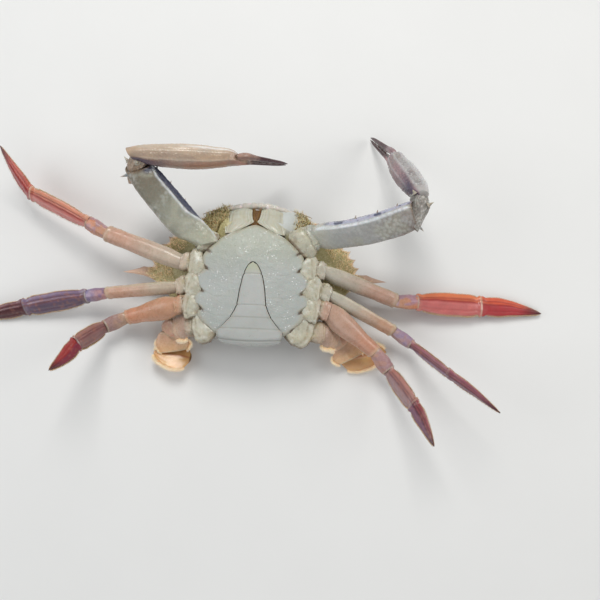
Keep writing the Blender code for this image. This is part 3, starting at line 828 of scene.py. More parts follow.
def reach_from_hub(loop, turns):
    """How far a closed outline lies from the hub, in each direction."""
    way = loop - STERNUM_HUB
    angle = np.arctan2(way[:, 1], way[:, 0])
    order = np.argsort(angle)
    return np.interp(turns, angle[order], np.linalg.norm(way, axis=1)[order], period=2 * math.pi)


def tail_outline():
    """Outline of the tail plate on the belly, widened by the gap round it."""
    back, half, shift = np.array(TAIL_SHAPE).T
    fine = np.linspace(0.0, back[-1], 160)
    half, shift = through(back, half, fine), through(back, shift, fine)
    half = half - sum(0.35 * bell(fine, seam, 0.5) for seam in TAIL_SEAMS)
    right = np.stack([shift + half + PLATE_GAP, TAIL_TIP_Y - fine], -1)
    left = np.stack([shift - half - PLATE_GAP, TAIL_TIP_Y - fine], -1)
    tip = np.array([(shift[0], TAIL_TIP_Y + PLATE_GAP)])
    rear = np.array([(20.2, -42.0), (-20.2, -42.0)])
    return np.concatenate([tip, right, rear, left[::-1]])


def sternum_seams(x, y):
    """Faint furrows between the chest plates, from each notch in towards the tail."""
    wide = np.abs(x)
    furrow = 0.0
    for hx, hy in HOLLOWS:
        line = hy - 4.6 * smooth(hx + 1, hx - 10.0, wide)
        between = smooth(8.0, 20.0, wide) * smooth(hx + 1, hx - 1, wide)
        furrow = np.maximum(furrow, bell(y, line, 0.40) * between)
    front = bell(y, 19.5 + 0.10 * wide, 0.5) * smooth(22, 19, wide) * smooth(8, 14, wide)
    return np.maximum(furrow, 0.6 * front)


def notch_marks(x, y):
    """Brown specks where each leg's root meets the plate."""
    wide = np.abs(x)
    mark = 0.0
    for hx, hy in HOLLOWS + ((28.6, 13.6), (26.4, -35.0)):
        along = (hx + 0.6 - wide) * 0.8 + (hy - y) * 0.6
        off = (hx + 0.6 - wide) * 0.6 - (hy - y) * 0.8
        mark = np.maximum(mark, 1.8 * np.exp(-((along - 0.9) / 2.0) ** 2 - (off / 0.8) ** 2))
    return np.minimum(mark, 1.0)


def sternum(finish):
    """The chest: from the tail plate's groove out to its lobes, and down their sides."""
    turns = np.linspace(-math.pi, math.pi, 880, endpoint=False)
    outer = softened(around_finely(sternum_edge()[None], 1400)[0], 11)
    outer = reach_from_hub(outer, turns)
    inner = np.minimum(reach_from_hub(tail_outline(), turns), outer - 0.25)
    way = np.stack([np.cos(turns), np.sin(turns)], -1)
    rows, gaps = [], []

    def add_ring(reach, drop, gap, height=None):
        flat = STERNUM_HUB + way * reach[:, None]
        level = sternum_height(*flat.T) - drop if height is None else np.full(len(turns), height)
        rows.append(np.column_stack([flat, level]))
        gaps.append(np.broadcast_to(gap, turns.shape))

    for inset, drop in ((-1.6, 1.9), (-0.3, 1.9), (0.0, 1.7), (0.0, 0.5), (0.06, 0.12)):
        add_ring(inner + inset, drop, IN_GROOVE)
    for share in np.linspace(0, 1, 100):
        reach = inner + 0.16 + (outer - inner - 0.16) * share
        gap = outer - reach
        corner = np.clip(1 - gap / 2.2, 0, 1)
        add_ring(reach, 1.5 * (1 - np.sqrt(np.clip(1 - corner ** 2, 0, 1))), gap)
    under = BELLY_Z + 0.3
    for height, share in ((33.0, 1.0), (30.0, 0.995), (27.0, 0.985), (under, 0.97), (under, 0.2)):
        add_ring(outer * share, 0.0, DOWN_SIDE, height)
    rows, gap = np.array(rows), np.array(gaps)
    x, y = rows[..., 0], rows[..., 1]
    seam = sternum_seams(x, y)
    top = (gap >= 0) * smooth(-0.01, 0.6, gap)
    flat = rows * (1, 1, 0)
    notch = notch_marks(x, y)
    relief = top * (0.22 * lumps(flat, 9.0, 3) + 0.10 * lumps(flat, 3.5, 6))
    relief = relief + top * 0.05 * granules(flat, 1.6, 31)
    relief = relief - top * (0.09 * seam + 0.5 * notch)
    shoulder = bell(np.abs(x), 15.0, 3.4) * bell(y, 25.2 - 0.55 * (np.abs(x) - 15.0), 0.8)
    relief = relief + top * 0.35 * shoulder
    rows[..., 2] += relief
    marks = {"seam": seam * top, "notch": notch * (gap > IN_GROOVE), "shoulder": shoulder,
             "edge": smooth(4.0, 0.3, np.abs(gap)) * (gap >= DOWN_SIDE),
             "groove": (gap == IN_GROOVE) * 1.0, "front": smooth(-4.0, 20.0, y)}
    return tube("sternum_shell", rows, finish, ["sternum"], marks)


def tail_plate(finish):
    """Narrow bell-shaped plate, laid in its groove and turned down over the rear edge."""
    stops = []
    for b, h, s in TAIL_SHAPE:
        y = TAIL_TIP_Y - b
        stops.append((s, y, float(sternum_height(0.0, y)), h, 0.0))
    for y, z, h, tilt in TAIL_TURN:
        stops.append((0.0, y, z, h, float(tilt)))
    stops = np.array(stops)
    gone = np.concatenate([[0.0], np.cumsum(np.linalg.norm(np.diff(stops[:, 1:3], axis=0), axis=1))])
    at = np.linspace(0, 1, 230) ** 1.15 * gone[-1]
    shift, y, z, half, tilt = through(gone, stops, at).T
    half = half * np.sqrt(np.clip(at / 1.4, 0.03, 1.0))
    half = half * (0.62 + 0.38 * np.sqrt(np.clip((gone[-1] - at) / 7.0, 0.0, 1.0)))
    seam = sum(bell(at, place, 0.42) for place in TAIL_SEAMS)
    across, rise = section(96, 0.62)
    arch = 0.72 * (0.35 * rise + 0.65 * (rise > 0) * (1 - np.abs(across) ** 2.2))
    lift = np.where(rise > 0, arch, 1.15 * rise)
    half = half - 0.35 * seam
    tilt = np.radians(tilt)[:, None]
    top = smooth(-0.2, 0.4, rise)
    turned_down = smooth(42.0, 50.0, at)[:, None]
    dome = 1.6 * turned_down * top * (1 - across ** 2)
    furrow = (0.09 + 0.40 * turned_down) * seam[:, None] * top
    lift = lift * (1 + 0.9 * turned_down) - furrow + dome
    step = sum(bell(at, place + 1.3, 0.8) for place in TAIL_SEAMS)
    lift = lift + 0.30 * turned_down * step[:, None] * top
    x = shift[:, None] + half[:, None] * across
    flat = np.stack([x, np.broadcast_to(at[:, None], x.shape), x * 0], -1)
    lift = lift + top * 0.10 * lumps(flat, 4.0, 9)
    edge_bead = bell(np.abs(across), 0.93, 0.06)
    lift = lift + top * 0.25 * edge_bead * smooth(1.0, 4.0, half)[:, None]
    points = np.stack([x, y[:, None] - np.sin(tilt) * lift, z[:, None] + np.cos(tilt) * lift], -1)
    marks = {"seam": seam[:, None] * top,
             "tip": smooth(TAIL_SEAMS[0] + 1.5, TAIL_SEAMS[0] - 5.0, at)[:, None],
             "edge": bell(np.abs(across), 1.0, 0.07)}
    return tube("tail_plate", points, finish, ["abdomen"], marks)


# ---- mouth, eyes and feelers

# Each row of a jaw plate: its place, height, and inner and outer edge from the middle line.
MOUTH_ROWS = ((45.2, 23.4, 3.4, 17.4), (43.2, 25.2, 3.3, 18.4), (39.5, 27.7, 3.0, 18.9),
              (36.0, 30.1, 2.3, 19.2), (33.3, 32.1, 1.4, 19.4), (30.3, 33.8, 5.9, 19.5),
              (27.7, 34.9, 10.6, 19.4), (25.3, 35.6, 15.0, 19.0))


def mouth_gap(y):
    """The jaw plates' height beside the gap, and half the gap's width."""
    places, heights, widths = np.array(MOUTH_ROWS)[::-1, :3].T
    return np.interp(y, places, heights), np.interp(y, places, widths)


def mouth_plate(side, word, finish):
    """A jaw plate: a broad inner limb, a narrow outer one and a cross joint near the front."""
    table = np.array(MOUTH_ROWS)
    stops = np.arange(len(table), dtype=float)
    at = np.linspace(0, len(table) - 1.0, 90)
    y, z, near, far = through(stops, table, at).T
    near = near * 0.86
    far = far - 4.6 * (1 - np.sqrt(np.clip(0.02 + at / 1.3, 0, 1)))
    middle, half = (near + far) / 2, (far - near) / 2
    across, rise = section(84, 0.6)
    crown = 1.0 - 0.5 * smooth(0.3, 1.0, across) - 0.35 * smooth(-0.7, -1.0, across)
    lift = np.where(rise > 0, rise * crown, rise * (2.2 + 0.4 * across))
    top = smooth(0.0, 0.5, rise)
    split = bell(across, 0.56, 0.045) * smooth(42.5, 40.5, y)[:, None]
    cross = bell(y, 39.6, 0.5)[:, None] * smooth(0.55, 0.4, across)
    ribs = (0.5 + 0.5 * np.cos(across * 26.0 + 0.4 * np.sin(across * 9)))
    x = side * (middle[:, None] + half[:, None] * across)
    grid = np.stack([x, np.broadcast_to(y[:, None], x.shape), x * 0], -1)
    lift = lift * np.sqrt(np.clip(0.15 + at / 0.7, 0, 1))[:, None]
    lift = lift - top * (0.26 * split + 0.10 * cross - 0.42 * ribs - 0.25 * lumps(grid, 2.4, 5))
    bow = 1.1 * (0.3 - across ** 2) * smooth(1.6, 0.0, at)[:, None]
    points = np.stack([x, grid[..., 1] + bow, z[:, None] + lift - 0.0105 * x ** 2], -1)
    furrow = np.maximum(np.maximum(split, 0.35 * cross), 0.55 * smooth(0.45, 0.0, ribs))
    marks = {"seam": furrow * top, "across": across, "top": top,
             "along": (at / at[-1])[:, None], "rosy": 0.0}
    return tube("mouth_plate_" + word, points, finish, ["maxilliped_" + word], marks)


def front_rim(finish):
    """The knobbly white rim that closes the front between the jaw plates and the shell."""
    at = np.linspace(-1, 1, 260)
    knobs = 0.9 * np.abs(np.sin(at * 15.0)) + 0.5 * np.abs(np.sin(at * 26.0 + 1.0))
    ends = np.sqrt(np.clip(1.02 - at ** 2, 0.02, 1))
    middles = np.stack([25.0 * at, 47.3 - 4.0 * at ** 2, 22.3 - 3.2 * at ** 2], -1)
    turn = circle(40)
    reach = ((1.9 + 0.6 * knobs) * ends)[:, None]
    out = reach * np.cos(turn) * 0.9
    offset = np.stack([0 * out, out, reach * np.sin(turn)], -1)
    rows = middles[:, None] + offset
    rows = rows + unit(offset + 1e-6) * (0.22 * granules(rows, 1.2, 5))[..., None]
    marks = {"seam": 0.0, "top": 1.0, "across": at[:, None] * 2, "along": 0.3,
             "rosy": 0.35 + 0.65 * smooth(0.2, 0.9, lumps(rows, 2.2, 8))}
    tube("front_rim", rows, finish, (), marks)


def mouth_lining(finish):
    """The dark lining that lies deep in the gap between the jaw plates."""
    at = np.linspace(0, 1, 60)
    y = 30.5 + 13.6 * at
    z, half = mouth_gap(y)
    half = half.clip(1.0, 3.4) + 0.4
    turn = circle(40)
    x = half[:, None] * np.cos(turn)
    z = (z - 1.9)[:, None] + 0.9 * np.sin(turn)
    rows = np.stack([x, np.broadcast_to(y[:, None], x.shape), z], -1)
    rows[..., 2] += 0.35 * granules(rows, 1.0, 4)
    tube("mouth_lining", rows, finish)


def turned(middles, radii, name, finish, node, columns, marks):
    """A round piece: rings of the given radii along a line of middles."""
    way = unit(np.gradient(middles, axis=0))
    rows = rings_round(middles, radii, way, (0.0, 0.3, 1.0), columns)
    return tube(name, rows, finish, [node], marks)


def eye(side, word, finish):
    """A ringed stalk with a glossy dark cornea that sits over its end."""
    at = np.linspace(0, 1, 60)
    stops = (0, 0.14, 0.34, 0.46, 0.64, 0.84, 0.96, 1.0)
    radii = through(stops, (1.0, 1.5, 1.5, 2.05, 2.35, 2.0, 1.0, 0.25), at)
    middles = np.stack([side * (19.9 + 9.0 * at), 43.6 + 0 * at, 13.8 + 0 * at], -1)
    return turned(middles, radii, "eye_ball_" + word, finish, "eye_" + word, 44,
                  {"cornea": smooth(0.42, 0.47, at)[:, None]})


def feeler(side, word, finish):
    """Three stout joints and a long ringed whip."""
    at = np.linspace(0, 1, 210)
    radii = through((0, 0.12, 0.26, 0.34, 0.6, 0.85, 1.0), (1.1, 1.3, 0.95, 0.55, 0.40, 0.30, 0.20), at)
    joints = sum(bell(at, place, 0.012) for place in (0.1, 0.2, 0.3))
    rings = smooth(0.33, 0.36, at) * (0.5 + 0.5 * np.cos(at * 2 * math.pi * 46))
    x = 11.0 + 25.0 * at
    middles = np.stack([side * x, 46.9 - 0.0085 * (x - 12) ** 2, 19.6 - 2.2 * at], -1)
    radii = radii * (1 - 0.25 * joints) + 0.05 * rings - 0.03
    marks = {"along": at[:, None], "ring": rings[:, None], "seam": joints[:, None]}
    return turned(middles, radii, "feeler_" + word, finish, "antenna_" + word, 20, marks)


# ---- colours

CREAM = (0.50, 0.48, 0.38)
PEARL = (0.42, 0.45, 0.43)
IVORY = (0.52, 0.50, 0.36)
JOINT_BROWN = (0.16, 0.085, 0.035)
PEACH = (0.53, 0.27, 0.17)
ORANGE = (0.60, 0.24, 0.13)
CRIMSON = (0.30, 0.022, 0.020)
MAROON = (0.055, 0.012, 0.016)
LILAC = (0.30, 0.22, 0.33)
VIOLET = (0.13, 0.10, 0.24)
NAVY = (0.030, 0.036, 0.085)
SMOKE = (0.25, 0.27, 0.28)


def blend(one, other, share):
    """From one colour at 0 to the other at 1."""
    share = np.asarray(share, float)[..., None]
    return np.asarray(one) * (1 - share) + np.asarray(other) * share


# ---- legs

def distal_collar(limb, height=0.35):
    """The raised rim round a segment's far end, and the narrow neck before it."""
    limb.swell(height * limb.band(0.965, 0.018) - 0.18 * limb.band(0.925, 0.018))


def leg_base(limb, finish, far=CREAM, reach=3.2):
    """The hip: two short rings with a brown joint between them."""
    limb.stretch(reach, 0.5)
    outline = np.interp(limb.t, (0.0, 0.10, 0.24, 0.42, 0.52, 0.575, 0.60, 0.66, 0.90, 1.0),
                        (0.94, 1.30, 1.66, 1.68, 1.50, 1.14, 1.14, 1.32, 1.20, 1.30))
    limb.reshape(outline, 0.62 + 0.34 * outline, 0.66)
    place = limb.t - 0.10 * limb.across
    seam = bell(place, 0.58, 0.018)
    collar = bell(place, 0.53, 0.025) + 0.8 * bell(place, 0.635, 0.025)
    hinge = bell(place, 0.58, 0.05) * limb.keels(0.3, 20, 160)
    limb.swell(0.16 * collar - 0.40 * seam + 0.35 * hinge + 0.55 * limb.lumps(3.6, 4))
    limb.swell(0.22 * limb.granules(1.2, 8) - 0.50 * bell(limb.lumps(4.4, 16), 0.0, 0.08))
    bowed = limb.t + 0.13 * limb.across ** 2
    fold = bell(bowed + 0.02 * limb.lumps(3.0, 31), 0.40, 0.016)
    limb.swell(0.20 * bell(bowed, 0.35, 0.03) - 0.34 * fold)
    distal_collar(limb)
    limb.paint = blend(blend(CREAM, far, limb.past(0.3, 0.9)), IVORY, 0.5 * collar)
    limb.tint((0.24, 0.16, 0.08), 0.55 * fold)
    limb.tint(JOINT_BROWN, 0.85 * seam * (1 - hinge) + 0.5 * limb.band(1.0, 0.015))
    stain = smooth(-0.1, 0.6, limb.lumps(2.6, 9)) * limb.past(0.4, 0.0)
    limb.tint(JOINT_BROWN, 0.5 * stain + 0.3 * limb.keel(0, 0.2) * limb.past(0.5, 0.2))
    yellow = smooth(0.0, 0.6, limb.lumps(3.4, 12)) * (0.25 + 0.6 * bell(place, 0.60, 0.08))
    limb.tint((0.48, 0.38, 0.18), 0.6 * yellow)
    chalk = smooth(0.25, 0.8, limb.lumps(2.2, 22)) * limb.past(0.75, 0.5)
    limb.tint((0.66, 0.66, 0.60), 0.6 * chalk)
    # Painted shade: brown darkening where the hip's surface turns away from the sky, over its nearer
    # half.
    limb.tint((0.20, 0.125, 0.06), 0.75 * smooth(0.62, 0.05, limb.up) * limb.past(1.0, 0.5))
    limb.make(finish, "underside", False, 2.2)


def leg_merus(limb, finish, slot, colours, tint_at=0.5, belly=0.0):
    """The long arm of a leg, keeled along both edges."""
    root, far, edge = colours
    limb.stretch(1.8)
    swollen = limb.band(0.24, 0.26) - 0.5 * limb.past(0.5, 1.0)
    bow = 1 + 0.06 * np.sin(math.pi * limb.t) + belly * swollen
    limb.reshape(bow, bow)
    limb.fill_ends(0.22, 0.36, 0.12)
    keels = np.maximum(limb.keel(0, 0.20), limb.keel(180, 0.20))
    furrow = limb.keels(0.16, 38, 142)
    body = limb.past(0.0, 0.06) * limb.past(1.0, 0.93)
    limb.swell(body * (0.38 * keels - 0.20 * furrow + 0.08 * limb.lumps(4.0, 2)))
    limb.swell(body * 0.10 * limb.granules(1.3, 6) * smooth(0.3, 0.9, keels + 0.2))
    distal_collar(limb)
    fade = smooth(tint_at - 0.35, tint_at + 0.35, limb.t + 0.10 * limb.lumps(7.0, 3))
    limb.paint = blend(blend(root, far, fade), edge, 0.55 * keels + 0.3 * limb.band(0.96, 0.03))
    limb.tint(JOINT_BROWN, 0.7 * limb.band(1.0, 0.010) + 0.35 * limb.band(0.0, 0.02))
    limb.make(finish, slot)


def leg_carpus(limb, finish, slot, colours, patch=0.8, width=1.1, power=0.9):
    """The short wrist, with two low ridges and a coloured patch on its belly side."""
    root, far, tint = colours
    limb.stretch(1.6, 0.5)
    limb.reshape(width, 1.06, power)
    limb.fill_ends(0.24, 0.30, 0.3)
    ridges = limb.keels(0.15, 40, 95) + 0.7 * limb.keel(150, 0.15)
    body = limb.past(0.02, 0.15) * limb.past(0.98, 0.85)
    limb.swell(body * (0.34 * ridges + 0.12 * limb.granules(1.1, 5) - 0.10))
    distal_collar(limb, 0.45)
    limb.paint = blend(root, far, limb.past(0.1, 0.9))
    cloud = smooth(-0.3, 0.5, 1.3 * limb.lumps(2.6, 8) + 0.7 * limb.across)
    limb.tint(tint, patch * cloud * smooth(-0.2, 0.5, limb.up))
    limb.tint(IVORY, 0.6 * limb.band(0.97, 0.035) + 0.35 * limb.band(0.02, 0.05))
    limb.make(finish, slot)


def blade_relief(limb, tip=False):
    """The flat end segments: two long grooves beside a keel, and thin edges."""
    keel = limb.keels(0.16, 90, -90)
    groove = limb.keels(0.13, 56, -56)
    second = limb.keels(0.13, 124, -124)
    body = limb.past(0.03, 0.12) * limb.past(1.0, 0.9)
    depth = np.minimum(1.0, limb.half_depth / 2.0)
    limb.swell(body * depth * (0.26 * keel - 0.50 * groove - 0.30 * second + 0.05 * limb.lumps(3.0, 7)))
    if not tip:
        distal_collar(limb, 0.35)
    return groove, second


def leg_blade(limb, finish, slot, colours, split=0.30, tip=False, width=1.0, ring=0.6, spotted=0.0):
    """Propodus or dactyl: a strip along the front edge, a dark groove and a broad band."""
    strip, line, band, edge = colours
    limb.stretch(1.6, 0.2)
    limb.reshape(width, 1.0)
    limb.fill_ends(0.75, 0.0 if tip else 0.66, 0.10)
    groove, second = blade_relief(limb, tip)
    across = limb.across + 0.05 * limb.lumps(5.0, 4)
    limb.paint = blend(band, strip, smooth(split - 0.12, split + 0.16, across))
    limb.tint(line, 0.92 * np.maximum(bell(across, split - 0.02, 0.13), 0.8 * groove))
    limb.tint(blend(band, line, 0.4), 0.6 * second)
    rim = np.maximum(limb.keel(180, 0.22), 0.9 * limb.keel(0, 0.20))
    limb.tint(edge, 0.75 * rim)
    if tip:
        limb.tint(MAROON, limb.past(0.55, 1.0) * 0.94)
        limb.tint(IVORY, 0.6 * ring * limb.band(0.0, 0.03))
    else:
        ends = ring * limb.band(0.98, 0.016) + 0.2 * limb.band(0.02, 0.04)
        limb.tint(IVORY, ends)
    mottle = smooth(0.1, 0.7, limb.lumps(1.5, 18)) * spotted
    limb.tint((0.36, 0.15, 0.11), 0.45 * mottle)
    limb.make(finish, slot, tip)


def paddle(limb, finish):
    """The swimming leg's last segment: a thin oval leaf with a rib and a beaded rim."""
    rib = limb.keels(0.10, 90, -90) * limb.past(1.0, 0.6)
    rim = np.maximum(limb.keel(0, 0.16), limb.keel(180, 0.16))
    veins = 0.5 + 0.5 * np.cos(8.0 * limb.turn + 3.0 * limb.t)
    body = limb.past(0.0, 0.08) * limb.past(1.0, 0.93)
    relief = body * (0.24 * rib + 0.16 * rim + 0.05 * veins - 0.05)
    limb.swell(relief + 0.05 * limb.lumps(3.0, 2) * body)
    limb.paint = blend((0.62, 0.32, 0.13), (0.72, 0.45, 0.19), 0.5 + 0.5 * limb.lumps(5.0, 3))
    limb.tint((0.42, 0.13, 0.07), 0.55 * rib + 0.12 * veins)
    limb.tint((0.74, 0.62, 0.38), 0.7 * rim)
    limb.make(finish, "paddle", True)


# Each walking leg's colours: (root, far, edge) of the merus, (root, far, patch) of the carpus,
# then (front strip, groove, band, rim) of the propodus and the dactyl.
DEEP_RED = (0.32, 0.028, 0.022)
DUSK = (0.16, 0.065, 0.075)
ROSE = (0.42, 0.10, 0.12)
LEG_COLOURS = {
    ("leg_2", "left"): (
        ((0.48, 0.44, 0.36), (0.50, 0.30, 0.22), IVORY),
        (PEACH, ORANGE, (0.34, 0.26, 0.44)),
        ((0.70, 0.19, 0.08), DEEP_RED, (0.56, 0.15, 0.14), (0.70, 0.50, 0.36)),
        ((0.66, 0.12, 0.06), CRIMSON, (0.42, 0.040, 0.045), (0.62, 0.40, 0.28))),
    ("leg_2", "right"): (
        ((0.52, 0.42, 0.33), (0.56, 0.33, 0.24), IVORY),
        (PEACH, ORANGE, LILAC),
        ((0.72, 0.26, 0.15), DEEP_RED, (0.62, 0.17, 0.14), (0.68, 0.46, 0.36)),
        ((0.56, 0.10, 0.06), CRIMSON, (0.38, 0.040, 0.040), (0.52, 0.24, 0.17))),
    ("leg_3", "left"): (
        ((0.48, 0.45, 0.37), (0.50, 0.29, 0.19), IVORY),
        ((0.41, 0.27, 0.26), (0.38, 0.22, 0.24), (0.26, 0.21, 0.37)),
        ((0.40, 0.16, 0.20), DUSK, (0.24, 0.11, 0.19), (0.52, 0.36, 0.24)),
        ((0.34, 0.10, 0.14), DUSK, (0.20, 0.06, 0.10), (0.50, 0.30, 0.18))),
    ("leg_3", "right"): (
        ((0.52, 0.42, 0.32), (0.58, 0.34, 0.24), IVORY),
        ((0.44, 0.24, 0.24), LILAC, VIOLET),
        ((0.22, 0.15, 0.24), DUSK, (0.14, 0.09, 0.14), (0.30, 0.10, 0.09)),
        ((0.17, 0.06, 0.07), MAROON, (0.10, 0.030, 0.035), (0.24, 0.07, 0.06))),
    ("leg_4", "left"): (
        ((0.50, 0.32, 0.24), (0.52, 0.26, 0.17), IVORY),
        ((0.48, 0.27, 0.21), (0.44, 0.23, 0.20), (0.36, 0.23, 0.27)),
        ((0.42, 0.19, 0.16), DUSK, (0.36, 0.22, 0.23), (0.50, 0.28, 0.20)),
        ((0.28, 0.06, 0.07), MAROON, (0.20, 0.07, 0.13), (0.52, 0.36, 0.20))),
    ("leg_4", "right"): (
        ((0.54, 0.29, 0.18), (0.58, 0.27, 0.16), IVORY),
        ((0.44, 0.28, 0.20), (0.36, 0.21, 0.18), (0.32, 0.20, 0.20)),
        ((0.34, 0.17, 0.15), DUSK, (0.25, 0.13, 0.13), (0.50, 0.28, 0.20)),
        ((0.36, 0.05, 0.05), CRIMSON, (0.22, 0.030, 0.060), (0.44, 0.16, 0.13))),
}
# How wide each leg's end segments are, beside its solid; those seen on edge are narrower.
BLADE_WIDTHS = {("leg_2", "right"): (1.00, 1.02), ("leg_3", "left"): (0.80, 0.80),
                ("leg_4", "right"): (0.90, 0.90)}


def limbs_of(name, mirror, parts, sides=8, step=0.45):
    """The segments of one leg, each read from its solid, from the body outwards."""
    near = BODY_MIDDLE
    made = []
    for part in parts:
        rings = solid_rings(name + "_" + part, near, sides)
        made.append(Limb(name + "_" + part, rings, mirror, step))
        near = rings[-1].mean(axis=0)
    return made


def walking_leg(pair, word, mirror, looks):
    """One walking leg, its hip's fuzz and its blades' fringes."""
    base, merus, carpus, propodus, dactyl = limbs_of(
        pair + "_" + word, mirror, ("base", "merus", "carpus", "propodus", "dactyl"))
    arm, wrist, blade, claw = LEG_COLOURS[pair, word]
    width, tip_width = BLADE_WIDTHS.get((pair, word), (1.0, 1.0))
    ring, spotted = (0.45, 0.15) if pair == "leg_2" else (0.15, 1.0)
    leg_base(base, looks["hip"], arm[0])
    fuzz(base, looks["tuft"])
    leg_merus(merus, looks["leg"], "leg_peach", arm, 0.5, 0.26 if pair == "leg_4" else 0.0)
    leg_carpus(carpus, looks["leg"], "leg_lilac", wrist, 0.55, 0.5 + 0.6 * width)
    leg_blade(propodus, looks["blade"], "leg_red", blade, 0.30, False, width, ring, spotted)
    leg_blade(dactyl, looks["blade"], "leg_red", claw, 0.2, True, tip_width, ring, 0.6 * spotted)
    for limb, hair in ((propodus, 1.3), (dactyl, 1.1)):
        fringe(limb, looks["hair"], 180, hair, 900)
        fringe(limb, looks["hair"], 0, hair * 0.7, 600)


def swimming_leg(word, mirror, looks):
    """The folded last leg: rounded lobes, the paddle and long fringes."""
    name = "leg_5_" + word
    base, merus, carpus, propodus = limbs_of(name, mirror, ("base", "merus", "carpus", "propodus"))
    rings = solid_rings(name + "_dactyl", PADDLE_ROOT, 8)
    leaf = Limb(name + "_dactyl", rings, mirror, 0.35)
    brown, dusky = (0.58, 0.40, 0.28), (0.66, 0.42, 0.28)
    leg_base(base, looks["hip"], (0.44, 0.33, 0.24), 6.0)
    for lobe in (carpus, propodus):
        lobe.reshape(0.72 + 0.38 * np.sqrt(np.sin(np.pi * (0.06 + 0.88 * lobe.t))), 1.0)
    fuzz(base, looks["tuft"])
    leg_merus(merus, looks["leg"], "leg_lilac", ((0.44, 0.30, 0.23), brown, (0.60, 0.46, 0.32)))
    leg_carpus(carpus, looks["leg"], "leg_lilac", (brown, dusky, ROSE), 0.25, 1.14, 1.15)
    leg_carpus(propodus, looks["leg"], "leg_lilac", (dusky, (0.74, 0.46, 0.24), ROSE), 0.08, 1.22, 1.3)
    paddle(leaf, looks["paddle"])
    fringe(merus, looks["pale_hair"], 180, 3.0, 900)
    fringe(carpus, looks["pale_hair"], 180, 2.0, 380, end=0.82)
    fringe(propodus, looks["pale_hair"], 180, 2.2, 620, start=0.26)
    fringe(propodus, looks["pale_hair"], 0, 1.8, 420, start=0.30)
    fringe(leaf, looks["pale_hair"], 180, 2.6, 1800)
    fringe(leaf, looks["pale_hair"], 0, 2.6, 1800)


# ---- claws

# Place along the arm, half width, half depth and fullness of its section.
ARM_SECTIONS = {
    "left": ((0.0, 6.4, 5.4, 2.6), (0.06, 7.8, 6.2, 3.0), (0.3, 8.7, 6.3, 3.4),
             (0.65, 9.2, 6.3, 3.4), (0.93, 9.2, 6.2, 3.2), (1.0, 8.6, 5.8, 3.0)),
    "right": ((0.0, 6.2, 5.0, 2.6), (0.08, 7.6, 5.8, 3.0), (0.27, 9.6, 6.3, 3.4),
              (0.60, 10.0, 6.3, 3.4), (0.93, 8.7, 6.0, 3.0), (1.0, 7.6, 5.4, 2.6))}
ARM_ROLL = {"left": 44.0, "right": -8.0}                     # degrees about its own length
ARM_BOW = {"left": 3.2, "right": -1.0}                       # how far its middle is bowed aside
ARM_ROOT = {"left": 2.5, "right": 8.0}                       # how far it reaches back over the hip
ARM_SHIFT = {"left": (0.0, 0.0), "right": (1.8, 3.8)}        # how far its root moves aside, and up
ARM_SLANT = {"left": (-0.30, -0.5), "right": (-0.70, 0.85)}  # lean of its two end cuts
ARM_REACH = {"left": 0.10, "right": 0.42}                    # how far it reaches along the wrist
THORN_ROOT = 1.9
# Each thorn on the arm: its place along it, 1 for the front edge and -1 for the rear one, its length.
ARM_SPINES = ((0.42, 1, 7.0), (0.63, 1, 7.2), (0.82, 1, 7.4), (0.955, -1, 8.2))


def arm_rings(word, before, after, corners=40):
    """Rings of the claw's long arm, between the hip's last ring and the wrist's first."""
    start, cut_start = cut_plane(before)
    end, cut_end = cut_plane(after)
    along = unit(end - start)
    end = end - along * 0.5
    cut_start, cut_end = cut_start * np.sign(cut_start @ along), cut_end * np.sign(cut_end @ along)
    start = start - along * ARM_ROOT[word]
    side = level = unit(np.cross(along, UP))
    up = np.cross(side, along)
    bow = ARM_BOW[word] * side
    roll = math.radians(ARM_ROLL[word])
    cos, sin = math.cos(roll), math.sin(roll)
    side, up = side * cos - up * sin, up * cos + side * sin
    aside, lift = ARM_SHIFT[word]
    rings = []
    for t, width, depth, full in ARM_SECTIONS[word]:
        across, rise = section(corners, 2 / full)
        offset = (width * across)[:, None] * side + (depth * rise)[:, None] * up
        lean_start, lean_end = smooth(0.3, 0.0, t), smooth(0.7, 1.0, t)
        normal = unit(along * (1 - lean_start - lean_end) + cut_start * lean_start + cut_end * lean_end)
        slant = ARM_SLANT[word][0] * lean_start + ARM_SLANT[word][1] * lean_end
        slide = slant * (offset @ level) - (offset @ normal) / (along @ normal)
        middle = start + (end - start) * t + bow * 4 * t * (1 - t)
        middle = middle + (level * aside + UP * lift) * lean_start
        rings.append(middle + offset + slide[:, None] * along)
    return np.array(rings), side


def spine(name, root, way, reach, radius, finish, paint, lean=(0.0, 0.0, 0.0)):
    """A thorn with a flared root and a slightly bent tip."""
    at = np.linspace(0, 1, 34)
    radii = radius * (0.75 * (1 - at) ** 0.9 + 0.6 * np.exp(-at * 9) + 0.02)
    middles = root + np.outer(at * reach, way) + np.outer(at ** 2, lean)
    rows = rings_round(middles, radii, way, (0.1, 0.2, 0.97), 24)
    root_colour, tip_colour = paint
    colour = blend(root_colour, tip_colour, smooth(0.3, 1.0, at))[:, None]
    tube(name, rows, finish, (), {"paint": colour, "joint": 0.0})


def beaded(limb, width, *degrees):
    """Granulated ridges along the piece, one at each of the given turns, from 0 to 1."""
    beads = 0.6 + 0.4 * limb.granules(1.5, 17)
    return [limb.keel(turn, width) * beads for turn in degrees]


